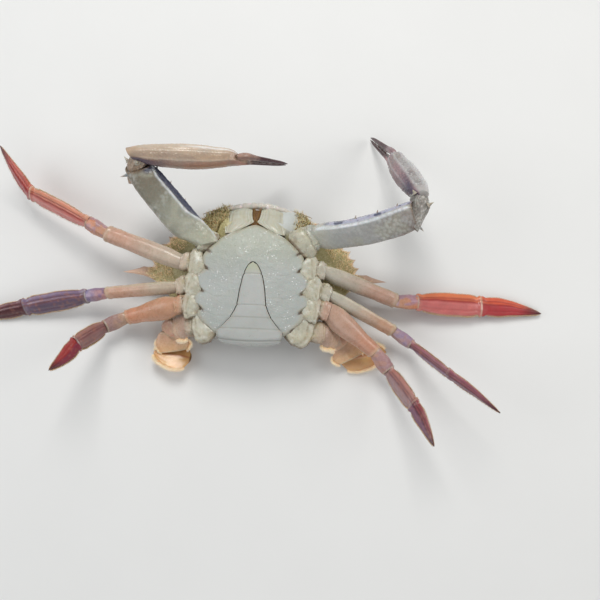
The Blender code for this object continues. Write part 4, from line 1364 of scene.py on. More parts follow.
def claw_hip(limb, word, finish):
    """The claw's hip: a broad angular block, creased where its two rings have grown together."""
    neck = 0.16 * limb.past(0.45, 1.0)
    width, depth = (1.04, 1.02) if word == "left" else (0.84, 0.80)
    flare = (0.44 if word == "left" else 0.20) * limb.past(0.4, 0.0)
    limb.reshape(width + flare - neck, depth - neck, 0.70)
    place = limb.t - 0.10 * limb.across
    seam = bell(place, 0.62, 0.022)
    collar = bell(place, 0.55, 0.03) + 0.8 * bell(place, 0.69, 0.03)
    crease = np.abs(limb.lumps(6.0, 6))
    limb.swell(0.06 * collar - 0.22 * seam + 0.50 * limb.lumps(5.5, 3) + 0.45 * crease)
    limb.swell(0.7 * limb.keel(28, 0.16) + 0.16 * limb.granules(1.3, 8))
    limb.swell(-0.45 * bell(limb.lumps(7.5, 16), 0.0, 0.07))
    limb.paint = blend(CREAM, PEARL, limb.past(0.4, 1.0))
    limb.tint(IVORY, 0.6 * collar)
    stain = smooth(0.0, 0.6, limb.lumps(2.6, 5)) * limb.past(0.4, 0.1)
    yellow = smooth(0.0, 0.6, limb.lumps(4.0, 12))
    limb.tint((0.44, 0.38, 0.20), 0.35 * yellow)
    limb.tint(JOINT_BROWN, np.clip(0.45 * seam + 0.4 * stain, 0, 1))
    limb.make(finish, "underside", False, 3.0)


def claw_arm(limb, word, finish):
    """The long arm: smooth and pearly, with a scalloped front edge and fine scales."""
    if word == "right":
        bevel = 0.60 + 0.36 * limb.past(0.42, 0.16) + 0.26 * limb.past(0.84, 1.0)
    else:
        bevel = 0.87 - 0.07 * limb.band(0.55, 0.3)
    chamfer = smooth(bevel - 0.05, 1.0, limb.across) * smooth(-0.2, 0.3, limb.thick)
    lean = 1 - 0.16 * smooth(0.4, -1.0, limb.thick)
    limb.reshape(lean, 1 - 0.62 * chamfer)
    body = limb.past(0.0, 0.06) * limb.past(1.0, 0.94)
    rim = bell(limb.across, bevel, 0.06) * smooth(0.2, 0.6, limb.thick)
    scallop = np.abs(limb.lumps(3.1, 8)) + 0.5 * limb.granules(2.1, 9)
    scales = limb.granules(2.3, 3, 0.62)
    limb.swell(body * (rim * (0.45 + 0.40 * scallop) + 0.20 * scales + 0.22 * limb.keel(180, 0.2)))
    limb.swell(body * (0.14 * limb.lumps(7.0, 5) - 0.16 * limb.keel(150, 0.12)))
    if word == "right":
        near, middle, far, front = (0.44, 0.44, 0.34), (0.30, 0.30, 0.245), (0.18, 0.155, 0.115), NAVY
    else:
        near, middle, far = (0.50, 0.50, 0.44), (0.42, 0.42, 0.41), (0.29, 0.25, 0.23)
        front = (0.46, 0.46, 0.58)
    limb.paint = blend(near, middle, limb.past(0.02, 0.35))
    begin = 0.62 if word == "left" else 0.40
    limb.tint(far, smooth(begin, 1.02, limb.t + 0.1 * limb.lumps(9.0, 2)))
    wall = smooth(bevel + 0.05, bevel + 0.12, limb.across) * limb.past(0.10, 0.22)
    limb.tint((0.46, 0.45, 0.36), 0.5 * smooth(0.0, 0.6, limb.lumps(5.0, 21)))
    # Painted highlight on the tops of the scales, in patches, and painted shade in the hollows between
    # them towards the far end.
    limb.tint((0.62, 0.63, 0.60), 0.55 * scales * smooth(-0.2, 0.5, limb.lumps(7.0, 23)))
    limb.tint((0.20, 0.17, 0.13), 0.35 * smooth(0.30, 0.0, scales) * limb.past(0.3, 0.9))
    limb.tint(front, 0.92 * wall)
    if word == "left":
        limb.tint(NAVY, 0.80 * wall * smooth(0.0, 0.4, limb.lumps(2.4, 14)))
    back = smooth(-0.2, -0.7, limb.thick) * (1 - wall)
    limb.tint((0.12, 0.14, 0.13), 0.7 * back)
    if word == "right":
        # Dark blue patch at the far end under the palm: partly the arm's own dark blue, partly painted
        # shade cast by the palm.
        limb.tint(NAVY, 0.85 * limb.past(0.90, 0.97) * smooth(0.0, 0.4, limb.across))
    # Painted highlight: a pale blue-white wet gleam along the scalloped front rim.
    limb.tint((0.74, 0.78, 0.82), np.clip(0.9 * rim * (0.5 + 0.8 * scallop) * body, 0, 1))
    limb.tint(JOINT_BROWN, 0.6 * limb.band(1.0, 0.01))
    limb.make(finish, "claw_arm", shade=0.35)


def arm_spines(limb, word, mirror, finish, side):
    """Thorns along the arm's front edge, and one at its rear corner."""
    along = unit(limb.points[-1].mean(axis=0) - limb.points[0].mean(axis=0))
    front = -side * mirror
    for i, (t, edge, reach) in enumerate(ARM_SPINES):
        row = limb.nearest_row(t)
        way = unit(front * edge + along * 0.35)
        root = limb.points[row].mean(axis=0) + way * 6.6
        tips = ((0.40, 0.42, 0.40), (0.46, 0.36, 0.30)) if edge > 0 else (SMOKE, (0.44, 0.38, 0.32))
        name = "claw_%s_thorn_%d" % (word, i)
        spine(name, root, way, reach - THORN_ROOT, THORN_ROOT, finish, tips, along * 0.5)


def claw_wrist(limb, word, finish):
    """A knobbly wrist, drawn in under the arm's end."""
    limb.reshape(0.80, 0.80, 0.80)
    limb.fill_ends(0.20, 0.0, 0.34)
    limb.stretch(2.6, 0.5)
    if word == "left":
        limb.points = limb.points - 3.0 * UP * limb.past(0.85, 0.15)[..., None]
    ridges = sum(beaded(limb, 0.11, 40, 95, 140))
    body = limb.past(0.02, 0.15) * limb.past(0.98, 0.86)
    elbow = (1.4 if word == "left" else 0.6) * limb.band(0.46, 0.14) * limb.keel(180, 0.6)
    grains = limb.granules(1.15, 3)
    limb.swell(elbow + body * (0.50 * ridges + 0.36 * grains))
    if word == "right":
        base, light = (0.46, 0.33, 0.23), (0.50, 0.38, 0.27)
    else:
        base, light = (0.36, 0.34, 0.31), (0.54, 0.52, 0.49)
    limb.paint = blend(base, light, smooth(-0.2, 0.7, limb.lumps(4.0, 2) + 0.8 * (grains - 0.4)))
    limb.tint((0.54, 0.50, 0.44), 0.4 * np.clip(ridges, 0, 1) * body)
    # Painted shade: dark in the hollows between the wrist's grains.
    limb.tint((0.10, 0.08, 0.07), 0.45 * smooth(0.25, 0.0, grains))
    # Painted shade: dark navy where the wrist faces away from the sky, on its front side.
    limb.tint(NAVY, 0.7 * smooth(0.4, -0.2, limb.up) * smooth(0.1, 0.5, limb.across))
    limb.make(finish, "claw_arm")


def wrist_spines(limb, word, finish):
    """Two thorns on the wrist."""
    for i, (t, turn, reach) in enumerate(((0.5, 178.0, 4.0), (0.72, 80.0, 2.6))):
        row = limb.nearest_row(t)
        column = int(np.argmin(turn_gap(limb.turn[row], math.radians(turn))))
        way = unit(limb.normal[row, column] + 0.5 * limb.way[row, 0])
        root = limb.points[row, column] - way * 1.0
        tips = ((0.36, 0.32, 0.26), IVORY)
        spine("claw_%s_wrist_thorn_%d" % (word, i), root, way, reach, 1.5, finish, tips)


def claw_palm(limb, word, finish, teeth_way):
    """The ribbed hand, its fixed finger and the row of teeth along it."""
    slim = 0.14 * limb.past(0.30, 0.52) + 0.28 * limb.past(0.48, 0.66)
    limb.stretch(6.8 if word == "left" else 8.0, 0.40)
    root = (0.14 if word == "left" else 0.20) * limb.past(0.26, 0.0)
    limb.reshape(1.03 - slim - root, 1 - 0.6 * slim - 0.6 * root)
    hand = limb.past(0.02, 0.08) * limb.past(0.66, 0.56)
    finger = limb.past(0.58, 0.68)
    belly_side = np.maximum.reduce(beaded(limb, 0.10, 8, 52, 96, 140, 184))
    ridges = np.maximum(belly_side, 0.8 * np.maximum.reduce(beaded(limb, 0.10, -40, -90, -140)))
    grains = limb.granules(1.4, 4)
    coarse = 0.46 if word == "left" else 0.26
    limb.swell(hand * (0.42 * ridges + coarse * grains + 0.12 * limb.lumps(6.0, 2)))
    groove = limb.keels(0.2, 30, 150)
    limb.swell(-0.22 * groove * finger * limb.past(0.98, 0.85))
    teeth = finger_teeth(limb, teeth_way, finger, 0.9, 0.78, 0.10, 16)
    # high is the pale colour of the palm's painted highlights.
    if word == "left":
        skin, low, high, edge = (0.46, 0.44, 0.43), (0.38, 0.22, 0.24), (0.68, 0.68, 0.70), 0.80
    else:
        skin, low, high, edge = (0.50, 0.36, 0.25), (0.46, 0.24, 0.16), (0.68, 0.58, 0.47), 0.70
    place = limb.across + 0.15 * limb.lumps(6.0, 5)
    limb.paint = blend(skin, low, 0.9 * smooth(edge - 0.25, edge + 0.12, place))
    limb.tint((0.30, 0.24, 0.20), 0.5 * smooth(0.1, 0.7, limb.lumps(8.0, 6)))
    # Painted shade: a dark net in the hollows between the palm's grains.
    net = smooth(0.42, 0.04, grains) * hand * (0.7 + 0.3 * limb.lumps(3.0, 19))
    limb.tint((0.13, 0.10, 0.11), (0.72 if word == "left" else 0.20) * net)
    # Painted highlights: along the ridges, and over the outer part of the belly side.
    limb.tint(high, 0.5 * np.clip(ridges, 0, 1) * hand)
    limb.tint(high, 0.6 * smooth(0.2, -0.7, place) * smooth(0.0, 0.5, limb.thick) * hand)
    gleam = limb.keel(124, 0.12) * limb.past(0.20, 0.36) * limb.past(0.62, 0.54)
    limb.tint((0.90, 0.89, 0.87), 0.85 * gleam)
    limb.tint((0.06, 0.05, 0.10), 0.85 * limb.past(0.24, 0.06) * smooth(edge - 0.1, edge + 0.15, place))
    # Painted shade: dark blue-grey where the hand faces away from the sky.
    limb.tint((0.10, 0.11, 0.17), 0.8 * smooth(-0.1, -0.8, limb.up) * hand)
    limb.tint(ROSE, 0.25 * limb.past(0.48, 0.62) * (1 - finger))
    start = 0.60 + (0.16 * smooth(0.3, -0.5, limb.across) if word == "left" else 0.0)
    limb.tint(MAROON, finger * smooth(start, start + 0.12, limb.t + 0.03 * limb.lumps(3.0, 2)))
    limb.tint((0.30, 0.26, 0.24), 0.6 * teeth)
    limb.make(finish, "claw_hand", True, shade=0.15)


def facing(limb, place):
    """1 on the line along the piece that faces a place, falling to 0 on both sides."""
    toward = place - limb.middles[:, 0]
    toward = toward - (toward * limb.way[:, 0]).sum(-1, keepdims=True) * limb.way[:, 0]
    toward = unit(toward)[:, None]
    offset = unit(limb.points - limb.middles)
    return smooth(0.72, 0.96, (offset * toward).sum(-1))


def finger_teeth(limb, place, where, height, middle, width, count):
    """Raise a bar with blunt teeth that faces the other finger, each third tooth larger."""
    bar = facing(limb, place) * where
    limb.swell(height * bar * limb.band(middle, width))
    step = limb.t * count
    teeth = np.where(np.floor(step) % 3 == 1, 1.0, 0.6) * np.sin(math.pi * (step % 1.0)) ** 0.8
    limb.swell(np.minimum(0.7, 0.35 * limb.half_depth) * bar * teeth)
    return bar * teeth


def claw_finger(limb, word, finish, teeth_way):
    """The moving finger: curved, grooved, dark, with blunt teeth on its inner edge."""
    limb.stretch(5.0, 0.26)
    limb.reshape(0.66, 0.72)
    groove = limb.keels(0.2, 35, 145)
    ridge = limb.keel(90, 0.16)
    body = limb.past(0.02, 0.1) * limb.past(1.0, 0.88)
    limb.swell(body * (0.20 * ridge - 0.26 * groove))
    teeth = finger_teeth(limb, teeth_way, body, 0.7, 0.45, 0.22, 18)
    root = (0.36, 0.22, 0.17) if word == "right" else (0.30, 0.20, 0.21)
    limb.paint = blend(root, MAROON, smooth(0.10, 0.34, limb.t + 0.06 * limb.lumps(4.0, 2)))
    limb.tint((0.10, 0.05, 0.08), 0.4 * groove)
    limb.tint((0.30, 0.26, 0.24), 0.55 * teeth)
    limb.tint((0.06, 0.02, 0.02), limb.past(0.85, 1.0))
    limb.make(finish, "claw_finger", True)


def claw(word, mirror, looks):
    """One whole claw, read from its solids from the body outwards."""
    name = "claw_" + word
    hip_rings = solid_rings(name + "_base", BODY_MIDDLE, 8)
    elbow = hip_rings[-1].mean(axis=0)
    arm_way = {"left": (1.0, 0.1, 0.5), "right": (-0.74, 0.64, 0.2)}[word]
    wrist_rings = solid_rings(name + "_carpus", elbow + 40 * np.array(arm_way), 10)
    palm_rings = solid_rings(name + "_palm", wrist_rings[-1].mean(axis=0), 10)
    dactyl_rings = solid_rings(name + "_dactyl", wrist_rings[-1].mean(axis=0), 8)
    hip = Limb(name + "_base", hip_rings, mirror)
    wrist_place = np.linspace(0, 1, len(wrist_rings))
    arm_end = through(wrist_place, wrist_rings, ARM_REACH[word])
    merus_rings, side = arm_rings(word, hip_rings[-1], arm_end)
    arm = Limb(name + "_merus", merus_rings, mirror)
    wrist = Limb(name + "_carpus", wrist_rings, mirror, 0.38)
    palm = Limb(name + "_palm", palm_rings, mirror, 0.38)
    finger = Limb(name + "_dactyl", dactyl_rings, mirror, 0.32)
    claw_hip(hip, word, looks["hip"])
    fuzz(hip, looks["tuft"])
    arm_spines(arm, word, mirror, looks["arm"], side)
    claw_arm(arm, word, looks["arm"])
    wrist_spines(wrist, word, looks["arm"])
    claw_wrist(wrist, word, looks["arm"])
    claw_palm(palm, word, looks["hand"], finger.points[-1].mean(axis=0))
    claw_finger(finger, word, looks["finger"], palm.points[-1].mean(axis=0))


# ---- hairs

HAIR_SECTION = ((1.0, 0.0), (-0.5, 0.87), (-0.5, -0.87))
HAIR_POINTS = 7                       # three at the root, three at the bend and the tip
HAIR_PATCH = 0.0014                   # a hair's reach on the OFBake map
MAP_EDGE, MAP_SPAN = 0.02, 0.96
FLOOR_CLEARANCE = 0.3


def hairs(name, roots, ways, lengths, widths, spots, finish, bend=None, seed=1):
    """Fine tapered hairs, each a three-sided blade with a bent tip, as one mesh.

    Each hair's patch on the OFBake map lies round its root's spot on the skin.
    """
    count = len(roots)
    ways = unit(ways)
    side = unit(np.cross(ways, (0.31, 0.17, 0.93)))
    rise = np.cross(side, ways)
    bend = np.zeros((count, 3)) if bend is None else bend
    points, patches = [], []
    for share, thick in ((0.0, 1.0), (0.55, 0.7)):
        middle = roots + ways * (lengths * share)[:, None] + bend * (lengths * share ** 2)[:, None]
        for a, b in HAIR_SECTION:
            points.append(middle + (side * a + rise * b) * (widths * thick)[:, None])
            patches.append(spots + HAIR_PATCH * np.array((a, b)) * (1 - 0.5 * share))
    points.append(roots + ways * lengths[:, None] + bend * lengths[:, None])
    patches.append(spots)
    points = np.stack(points, 1).reshape(-1, 3)
    points[:, 2] = np.maximum(points[:, 2], FLOOR_CLEARANCE)
    patches = np.stack(patches, 1).reshape(-1, 2)
    first = np.arange(count)[:, None] * HAIR_POINTS
    quads = np.concatenate([first + (k, (k + 1) % 3, (k + 1) % 3 + 3, k + 3) for k in range(3)])
    tips = np.concatenate([first + (k + 3, (k + 1) % 3 + 3, 6) for k in range(3)])
    roots_closed = first + (2, 1, 0)
    along = np.tile((0, 0, 0, 0.55, 0.55, 0.55, 1.0), count)
    tone = np.repeat(np.random.default_rng(seed + 77).random(count), HAIR_POINTS)
    piece(name, points, quads, np.concatenate([tips, roots_closed]), finish, (),
          {"along": along, "tone": tone}, patches)


def on_map(share):
    """A share from 0 to 1 as a place across the OFBake map, clear of the map's own edge."""
    return MAP_EDGE + MAP_SPAN * share


def fringe(limb, finish, degrees, length, count, spread=0.10, start=0.08, end=0.97, width=0.085):
    """A row of hairs along one edge of a limb, leaning towards its tip."""
    chance = np.random.default_rng(int(abs(limb.points[0, 0]).sum() * 100) + int(degrees))
    t = start + (end - start) * chance.random(count)
    rows = limb.rows_after(t)
    turn = math.radians(degrees) + spread * chance.normal(size=count)
    columns = turn_gap(limb.turn[rows], turn[:, None]).argmin(axis=1)
    roots = limb.points[rows, columns]
    normal = limb.normal[rows, columns]
    ways = normal + 0.45 * limb.way[rows, 0] + 0.16 * chance.normal(size=(count, 3))
    taper = smooth(0.0, 0.10, t) * smooth(1.02, 0.88, t)
    lengths = length * (0.45 + 0.55 * taper) * (0.65 + 0.5 * chance.random(count))
    spots = np.stack([on_map(limb.t[rows, 0]), 0.5 + 0.94 * turn / (2 * math.pi) % 0.5], -1)
    bend = 0.25 * limb.way[rows, 0] + 0.10 * chance.normal(size=(count, 3))
    widths = width * (0.7 + 0.6 * chance.random(count))
    hairs("%s_fringe_%d" % (limb.node, degrees), roots - normal * 0.12, ways, lengths, widths, spots,
          finish, bend, int(degrees))


def fuzz(limb, finish, count=420):
    """Short scattered hairs round a hip's crease and its root."""
    chance = np.random.default_rng(len(limb.node) + int(abs(limb.points[0, 0, 1]) * 10))
    in_crease = chance.random(count) < 0.5
    t = np.where(in_crease, 0.58 + 0.04 * chance.normal(size=count), 0.30 * chance.random(count))
    rows = limb.rows_after(t)
    columns = chance.integers(0, limb.points.shape[1], count)
    normal = limb.normal[rows, columns]
    spots = np.stack([on_map(limb.t[rows, 0]), on_map(columns / limb.points.shape[1])], -1)
    ways = normal + 0.5 * chance.normal(size=(count, 3))
    lengths = 0.9 * (0.5 + 0.8 * chance.random(count))
    hairs(limb.node + "_fuzz", limb.points[rows, columns] - normal * 0.1, ways, lengths,
          np.full(count, 0.06), spots, finish, 0.3 * chance.normal(size=(count, 3)), 9)


def pile(name, rows, chosen, finish, length, width, lean, seed, curl=0.2):
    """Hairs rooted on chosen points of a grid, standing off it and leaning one way."""
    chance = np.random.default_rng(seed)
    i, j = np.nonzero(chosen)
    roots = rows[i, j] + 0.25 * chance.normal(size=(len(i), 3))
    normal = shell_normals(rows)[i, j]
    ways = normal + np.asarray(lean) + 0.35 * chance.normal(size=(len(i), 3))
    lengths = length * (0.5 + 0.7 * chance.random(len(i)))
    spots = np.stack([on_map(j / rows.shape[1]), on_map(i / rows.shape[0])], -1)
    widths = width * (0.7 + 0.6 * chance.random(len(i)))
    bend = curl * chance.normal(size=(len(i), 3)) + 0.2 * np.asarray(lean)
    hairs(name, roots, ways, lengths, widths, spots, finish, bend, seed)


def shell_hairs(rows, looks):
    """A pale fringe under the side teeth, and short fur beside the mouth."""
    chance = np.random.default_rng(7)
    x, y, z = rows[..., 0], rows[..., 1], rows[..., 2]
    under = np.arange(len(rows))[:, None] > BACK_ROWS
    below = (z > 15.4) & (z < 18.6) & under
    side = below & (np.abs(x) > 36) & (y > -6) & (chance.random(x.shape) < 0.24)
    pile("shell_fringe", rows, side, looks["pale_hair"], 2.9, 0.14, (0.0, 0.15, 0.35), 3)
    cheek = (z > 17.5) & (z < 27.5) & (y > 22) & under
    share = np.where(x < 0, 0.45 * smooth(16, 20, np.abs(x)), 0.35 * smooth(24, 28, np.abs(x)))
    cheek = cheek & (chance.random(x.shape) < share * smooth(42, 36, np.abs(x)))
    pile("cheek_fur", rows, cheek, looks["fur"], 2.8, 0.26, (-0.25, 0.6, 0.15), 5)


BRISTLES_FROM, BRISTLES_OVER = 31.5, 12.5      # where along the gap they stand


def mouth_hairs(finish):
    """Orange-brown bristles in the gap between the jaw plates."""
    chance = np.random.default_rng(21)
    count = 1500
    y = BRISTLES_FROM + BRISTLES_OVER * chance.random(count)
    z, near = mouth_gap(y)
    side = np.where(np.arange(count) % 2, 1.0, -1.0)
    roots = np.stack([side * (near + 0.3), y, z - 0.4 - 1.6 * chance.random(count)], -1)
    ways = np.stack([-side, 0.35 + 0 * y, 0.35 + 0 * y], -1) + 0.25 * chance.normal(size=(count, 3))
    lengths = (near * 0.75 + 0.8) * (0.6 + 0.5 * chance.random(count))
    spots = np.stack([0.25 + 0.2 * side, on_map((y - BRISTLES_FROM) / BRISTLES_OVER)], -1)
    hairs("mouth_bristles", roots, ways, lengths, np.full(count, 0.075), spots, finish,
          0.15 * chance.normal(size=(count, 3)), 4)


def notch_tufts(finish):
    """Small brown tufts where the legs' roots meet the chest."""
    chance = np.random.default_rng(11)
    places = [(x, y) for x, y in HOLLOWS] + [(28.0, 14.2), (27.2, -33.4)]
    roots, ways = [], []
    for side in (1.0, -1.0):
        for x, y in places:
            spread = chance.normal(size=(60, 3)) * (0.8, 0.7, 0.3)
            centre = np.array((side * (x + 1.6), y, sternum_height(x, y) - 2.6))
            roots.append(centre + spread)
            ways.append(np.array((side * 0.2, -0.2, 1.0)) + 0.5 * chance.normal(size=(60, 3)))
    roots, ways = np.concatenate(roots), np.concatenate(ways)
    spots = 0.5 + roots[:, :2] / 90.0
    lengths = 1.7 * (0.5 + chance.random(len(roots)))
    bend = 0.3 * chance.normal(size=roots.shape)
    hairs("notch_tufts", roots, ways, lengths, np.full(len(roots), 0.075), spots,
          finish, bend, 6)


# ---- finishes

def wet_shell(name, cloud=(0.74, 1.18), speck=0.30, speck_size=0.9, shine=(0.16, 0.40), coat=0.15,
              depth=0.16):
    """Colour from the paint on the mesh, with clouds, fine specks, pores and patchy wet shine."""
    finish = Finish(name)
    dark, light = cloud
    tone = finish.noise(6.0, 4.0)
    paint = finish.paint()
    clouds = finish.mix((dark, dark, dark * 0.98), (light, light, light), tone)
    finish.colour = finish.multiply(paint, clouds)
    freckle = finish.grains(speck_size).between(0.34, 0.12) * finish.patches(3.0, 2.0, 0.45, 0.7)
    finish.colour = finish.multiply(finish.colour, (0.55, 0.47, 0.40), freckle * speck)
    finish.tint((0.12, 0.065, 0.03), "joint", 0.8)
    patch = finish.noise(2.2, 4.0, 0.6)
    low, high = shine
    rough = patch * (high - low) + low
    grain = finish.noise(0.5, 3.0) * 0.6 + finish.noise(1.8, 4.0) + finish.grains(0.6) * 0.4
    finish.set(Base_Color=finish.colour, Roughness=rough, Normal=finish.bump(grain, depth, 0.7),
               Coat_Weight=finish.patches(9.0, 2.0, 0.25, 0.75) * coat + 0.04)
    finish.set(Coat_Roughness=0.14, IOR=1.55, Subsurface_Weight=0.08, Subsurface_Scale=0.0015)
    return finish


def chest_finish():
    """Porcelain-like chest plate: cool white, warmer at its rim, with brown stains in its notches."""
    finish = Finish("chest")
    cloud = finish.noise(14.0, 4.0, 0.6)
    finish.colour = finish.mix((0.345, 0.365, 0.335), (0.45, 0.47, 0.455), cloud)
    finish.tint((0.38, 0.40, 0.31), "front", 0.6)
    warm = finish.mark("edge") * 0.55 + finish.patches(7.0, 3.0, 0.55, 0.85) * 0.25
    finish.tint((0.42, 0.38, 0.26), warm)
    finish.tint((0.24, 0.25, 0.20), "seam", 0.20)
    finish.tint((0.80, 0.80, 0.76), "shoulder", 0.8)
    stain = finish.mark("notch") * finish.patches(0.8, 3.0, 0.2, 0.5)
    finish.tint((0.075, 0.04, 0.018), stain.limited() * 0.95)
    finish.tint((0.045, 0.028, 0.015), "groove")
    pits = finish.grains(1.7).between(0.20, 0.08) * finish.noise(4.0).between(0.5, 0.7)
    finish.tint((0.20, 0.17, 0.10), pits * 0.45)
    # Painted glints: bright white specks in patches, for the wet sparkle of the chest.
    painted_glints = finish.grains(1.5).between(0.30, 0.16) * finish.patches(6.0, 3.0, 0.50, 0.62)
    finish.tint((0.86, 0.88, 0.88), painted_glints * 0.75)
    grime = finish.grains(1.0).between(0.40, 0.16) * finish.patches(3.0, 3.0, 0.42, 0.62)
    finish.tint((0.24, 0.13, 0.07), grime * finish.mark("edge") * 0.75)
    grain = finish.noise(0.7, 3.0) * 0.6 + finish.noise(2.6, 4.0) - pits * 0.5
    return finish.close((2.4, 4.0, 0.28, 0.20), (grain, 0.40, 1.0), (1.6, 4.0, 0.5, 0.7, 0.35),
                        Coat_Roughness=0.10, IOR=1.5, Subsurface_Weight=0.10, Subsurface_Scale=0.002)


def tail_finish():
    """Grey-white tail plate with a yellowish tip and darker seams and edges."""
    finish = Finish("tail_plate")
    finish.colour = finish.mix((0.39, 0.40, 0.375), (0.48, 0.49, 0.475), finish.noise(9.0, 4.0))
    finish.tint((0.44, 0.45, 0.29), "tip", 0.6)
    finish.tint((0.20, 0.19, 0.14), "seam", 0.35)
    finish.tint((0.24, 0.20, 0.12), "edge", 0.35)
    grain = finish.noise(0.7, 3.0) * 0.4 + finish.noise(2.2, 4.0)
    return finish.close((2.0, 4.0, 0.22, 0.20), (grain, 0.14, 0.8), (5.0, 3.0, 0.35, 0.7, 0.5),
                        Coat_Roughness=0.07, Subsurface_Weight=0.10, Subsurface_Scale=0.002)


def mouth_finish():
    """Cream jaw plates, streaked along their ribs; the front rim's knobs are rosy."""
    finish = Finish("jaw_plates")
    place = (finish.mark("across") * 9.0, finish.mark("along") * 2.2, 0.0)
    ribs = finish.node("ShaderNodeCombineXYZ", {}, place)
    streak = finish.noise(1.0, 3.0, 0.5, ribs)
    finish.colour = finish.mix((0.42, 0.42, 0.31), (0.62, 0.62, 0.55), streak)
    finish.tint((0.50, 0.45, 0.28), finish.patches(4.0, 3.0, 0.45, 0.75) * 0.5)
    finish.tint((0.26, 0.20, 0.11), "seam", 0.4)
    finish.tint((0.82, 0.72, 0.71), "rosy")
    finish.colour = finish.mix((0.16, 0.09, 0.04), finish.colour, finish.mark("top"))
    grain = streak * 0.6 + finish.noise(0.6, 3.0) * 0.5
    return finish.close((1.6, 4.0, 0.25, 0.20), (grain, 0.14, 0.8), (4.0, 3.0, 0.35, 0.7, 0.5),
                        Coat_Roughness=0.08, Subsurface_Weight=0.10, Subsurface_Scale=0.0015)


def lining_finish():
    finish = Finish("mouth_lining")
    finish.colour = finish.mix((0.10, 0.045, 0.014), (0.26, 0.13, 0.045), finish.noise(1.2, 4.0))
    finish.set(Base_Color=finish.colour, Roughness=finish.noise(0.8) * 0.3 + 0.35,
               Normal=finish.bump(finish.noise(0.5, 3.0), 0.12, 0.9))
    return finish


def back_finish():
    """The shell: mottled green-brown back, golden granular flanks and a rosy toothed rim."""
    finish = Finish("back_shell")
    back, rim, tooth = finish.mark("back"), finish.mark("rim"), finish.mark("tooth")
    cloud = finish.noise(16.0, 5.0, 0.6)
    top = finish.mix((0.055, 0.060, 0.028), (0.115, 0.105, 0.050), cloud)
    spots = finish.noise(7.0, 3.0, 0.5, None, 0.8).between(0.56, 0.64)
    top = finish.mix(top, (0.30, 0.29, 0.20), spots * 0.55)
    top = finish.mix(top, (0.25, 0.19, 0.09), finish.mark("ridge") * 0.6)
    top = finish.mix(top, (0.06, 0.10, 0.13), rim * 0.5)
    belly = finish.mix((0.34, 0.29, 0.11), (0.74, 0.68, 0.37), finish.noise(4.0, 4.0))
    belly = finish.mix(belly, (0.86, 0.80, 0.58), finish.grains(1.3).between(0.34, 0.10) * 0.6)
    belly = finish.mix(belly, (0.20, 0.11, 0.035), finish.patches(1.5, 3.0, 0.55, 0.70) * 0.65)
    # Painted highlight: the cheek mark washes the shell's underside pale blue-white.
    wash = finish.mark("cheek") * 0.55
    wash = wash + (finish.mark("cheek") * 1.5 + finish.noise(2.2, 4.0) - 1.0).limited() * 0.4
    belly = finish.mix(belly, (0.58, 0.61, 0.60), wash.limited())
    belly = finish.mix(belly, (0.20, 0.10, 0.035), finish.mark("mouth"))
    belly = finish.mix(belly, (0.74, 0.46, 0.33), rim * 0.85 * (1 - finish.mark("cheek")))
    finish.colour = finish.mix(belly, top, back)
    finish.tint((0.66, 0.44, 0.34), (tooth * 0.14).limited() * 0.85)
    grain = finish.noise(0.6, 3.0) + finish.grains(0.7) * 0.7
    return finish.close((2.0, 4.0, 0.25, 0.26), (grain, 0.26, 0.9), (8.0, 3.0, 0.35, 0.7, 0.3),
                        Coat_Roughness=0.18)


def eye_finish():
    """A horny stalk and a dark glossy cornea of fine facets."""
    finish = Finish("eye")
    cornea = finish.mark("cornea")
    stalk = finish.mix((0.30, 0.22, 0.12), (0.10, 0.07, 0.04), finish.noise(1.2, 3.0))
    facets = finish.grains(0.16)
    ball = finish.mix((0.010, 0.008, 0.006), (0.045, 0.030, 0.014), finish.noise(1.5, 2.0))
    finish.set(Base_Color=finish.mix(stalk, ball, cornea), Roughness=(1 - cornea) * 0.25 + 0.12,
               Normal=finish.bump(facets, 0.03, 0.4), Coat_Weight=cornea * 0.9)
    finish.set(Coat_Roughness=0.04)
    return finish


def feeler_finish():
    finish = Finish("feeler")
    finish.colour = finish.mix((0.44, 0.36, 0.24), (0.34, 0.24, 0.16), finish.mark("along"))
    finish.tint((0.10, 0.05, 0.03), "seam", 0.7)
    finish.tint((0.42, 0.32, 0.20), "ring", 0.5)
    finish.set(Base_Color=finish.colour, Roughness=finish.noise(0.8) * 0.2 + 0.3,
               Normal=finish.bump(finish.noise(0.3, 3.0), 0.05, 0.6))
    return finish


def hair_finish(name, root, tip, glow=0.0):
    """Fine bristle: darker at the root, each hair a little lighter or darker than the next."""
    finish = Finish(name)
    finish.colour = finish.mix(root, tip, finish.mark("along"))
    tone = finish.mix((0.70, 0.68, 0.64), (1.18, 1.18, 1.16), finish.mark("tone"))
    finish.set(Base_Color=finish.multiply(finish.colour, tone),
               Roughness=finish.mark("tone") * 0.2 + 0.40)
    # glow is emission in the hair's own colour: painted light for light shining through the hairs.
    finish.set(Subsurface_Weight=0.15, Subsurface_Scale=0.0008, Emission_Strength=glow)
    if glow:
        finish.set(Emission_Color=finish.colour)
    return finish


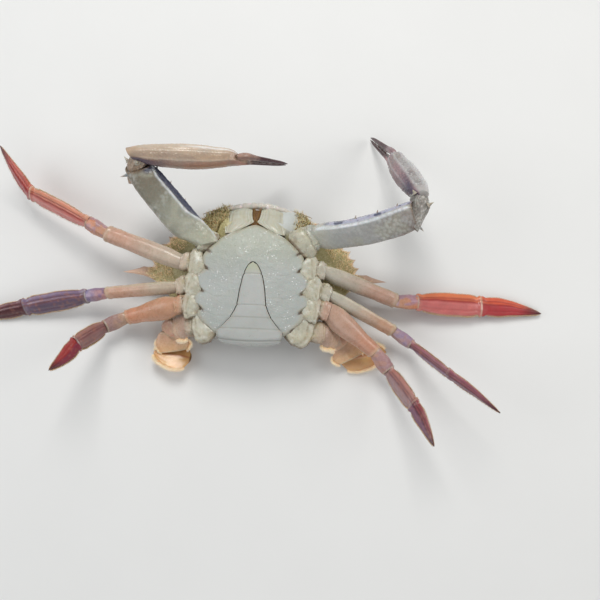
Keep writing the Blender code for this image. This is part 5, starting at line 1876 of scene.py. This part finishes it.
def floor_finish():
    finish = Finish("floor")
    finish.colour = finish.mix((0.76, 0.76, 0.75), (0.79, 0.79, 0.78), finish.noise(60.0, 3.0))
    finish.set(Base_Color=finish.colour, Roughness=0.75,
               Normal=finish.bump(finish.noise(1.2, 3.0), 0.05, 0.3))
    return finish.material


# ---- the crab

def crab():
    """Every finish and every piece."""
    looks = {
        "hip": wet_shell("hip", speck=0.70, speck_size=1.4, depth=0.20),
        "leg": wet_shell("leg", (0.74, 1.20), 0.45, 0.8),
        "blade": wet_shell("blade", (0.70, 1.24), 0.50, 0.8, (0.12, 0.34), 0.3, 0.18),
        "paddle": wet_shell("paddle", (0.82, 1.16), 0.2, 0.8, (0.18, 0.34), 0.3, 0.08),
        "arm": wet_shell("arm", (0.78, 1.16), 0.45, 0.9, (0.16, 0.38), 0.15, 0.20),
        "hand": wet_shell("hand", (0.76, 1.16), 0.40, 1.0, (0.14, 0.34), 0.2, 0.18),
        "finger": wet_shell("finger", (0.75, 1.2), 0.15, 0.8, (0.18, 0.34), 0.15, 0.06),
        "hair": hair_finish("hair", (0.66, 0.38, 0.22), (0.88, 0.68, 0.46)),
        "pale_hair": hair_finish("pale_hair", (0.86, 0.60, 0.34), (0.98, 0.88, 0.70), 0.22),
        "fur": hair_finish("fur", (0.34, 0.24, 0.09), (0.86, 0.74, 0.42)),
        "bristle": hair_finish("bristle", (0.17, 0.075, 0.022), (0.42, 0.24, 0.08)),
        "tuft": hair_finish("tuft", (0.05, 0.028, 0.012), (0.20, 0.12, 0.05)),
    }
    rows = carapace(back_finish())
    shell_hairs(rows, looks)
    sternum(chest_finish())
    notch_tufts(looks["tuft"])
    tail_plate(tail_finish())
    mouth_look, eye_look, feeler_look = mouth_finish(), eye_finish(), feeler_finish()
    mouth_hairs(looks["bristle"])
    mouth_lining(lining_finish())
    front_rim(mouth_look)
    for word, side in SIDES:
        mouth_plate(side, word, mouth_look)
        eye(side, word, eye_look)
        feeler(side, word, feeler_look)
        claw(word, side, looks)
        for pair in ("leg_2", "leg_3", "leg_4"):
            walking_leg(pair, word, side, looks)
        swimming_leg(word, side, looks)


camera()
studio()
floor(floor_finish())
crab()
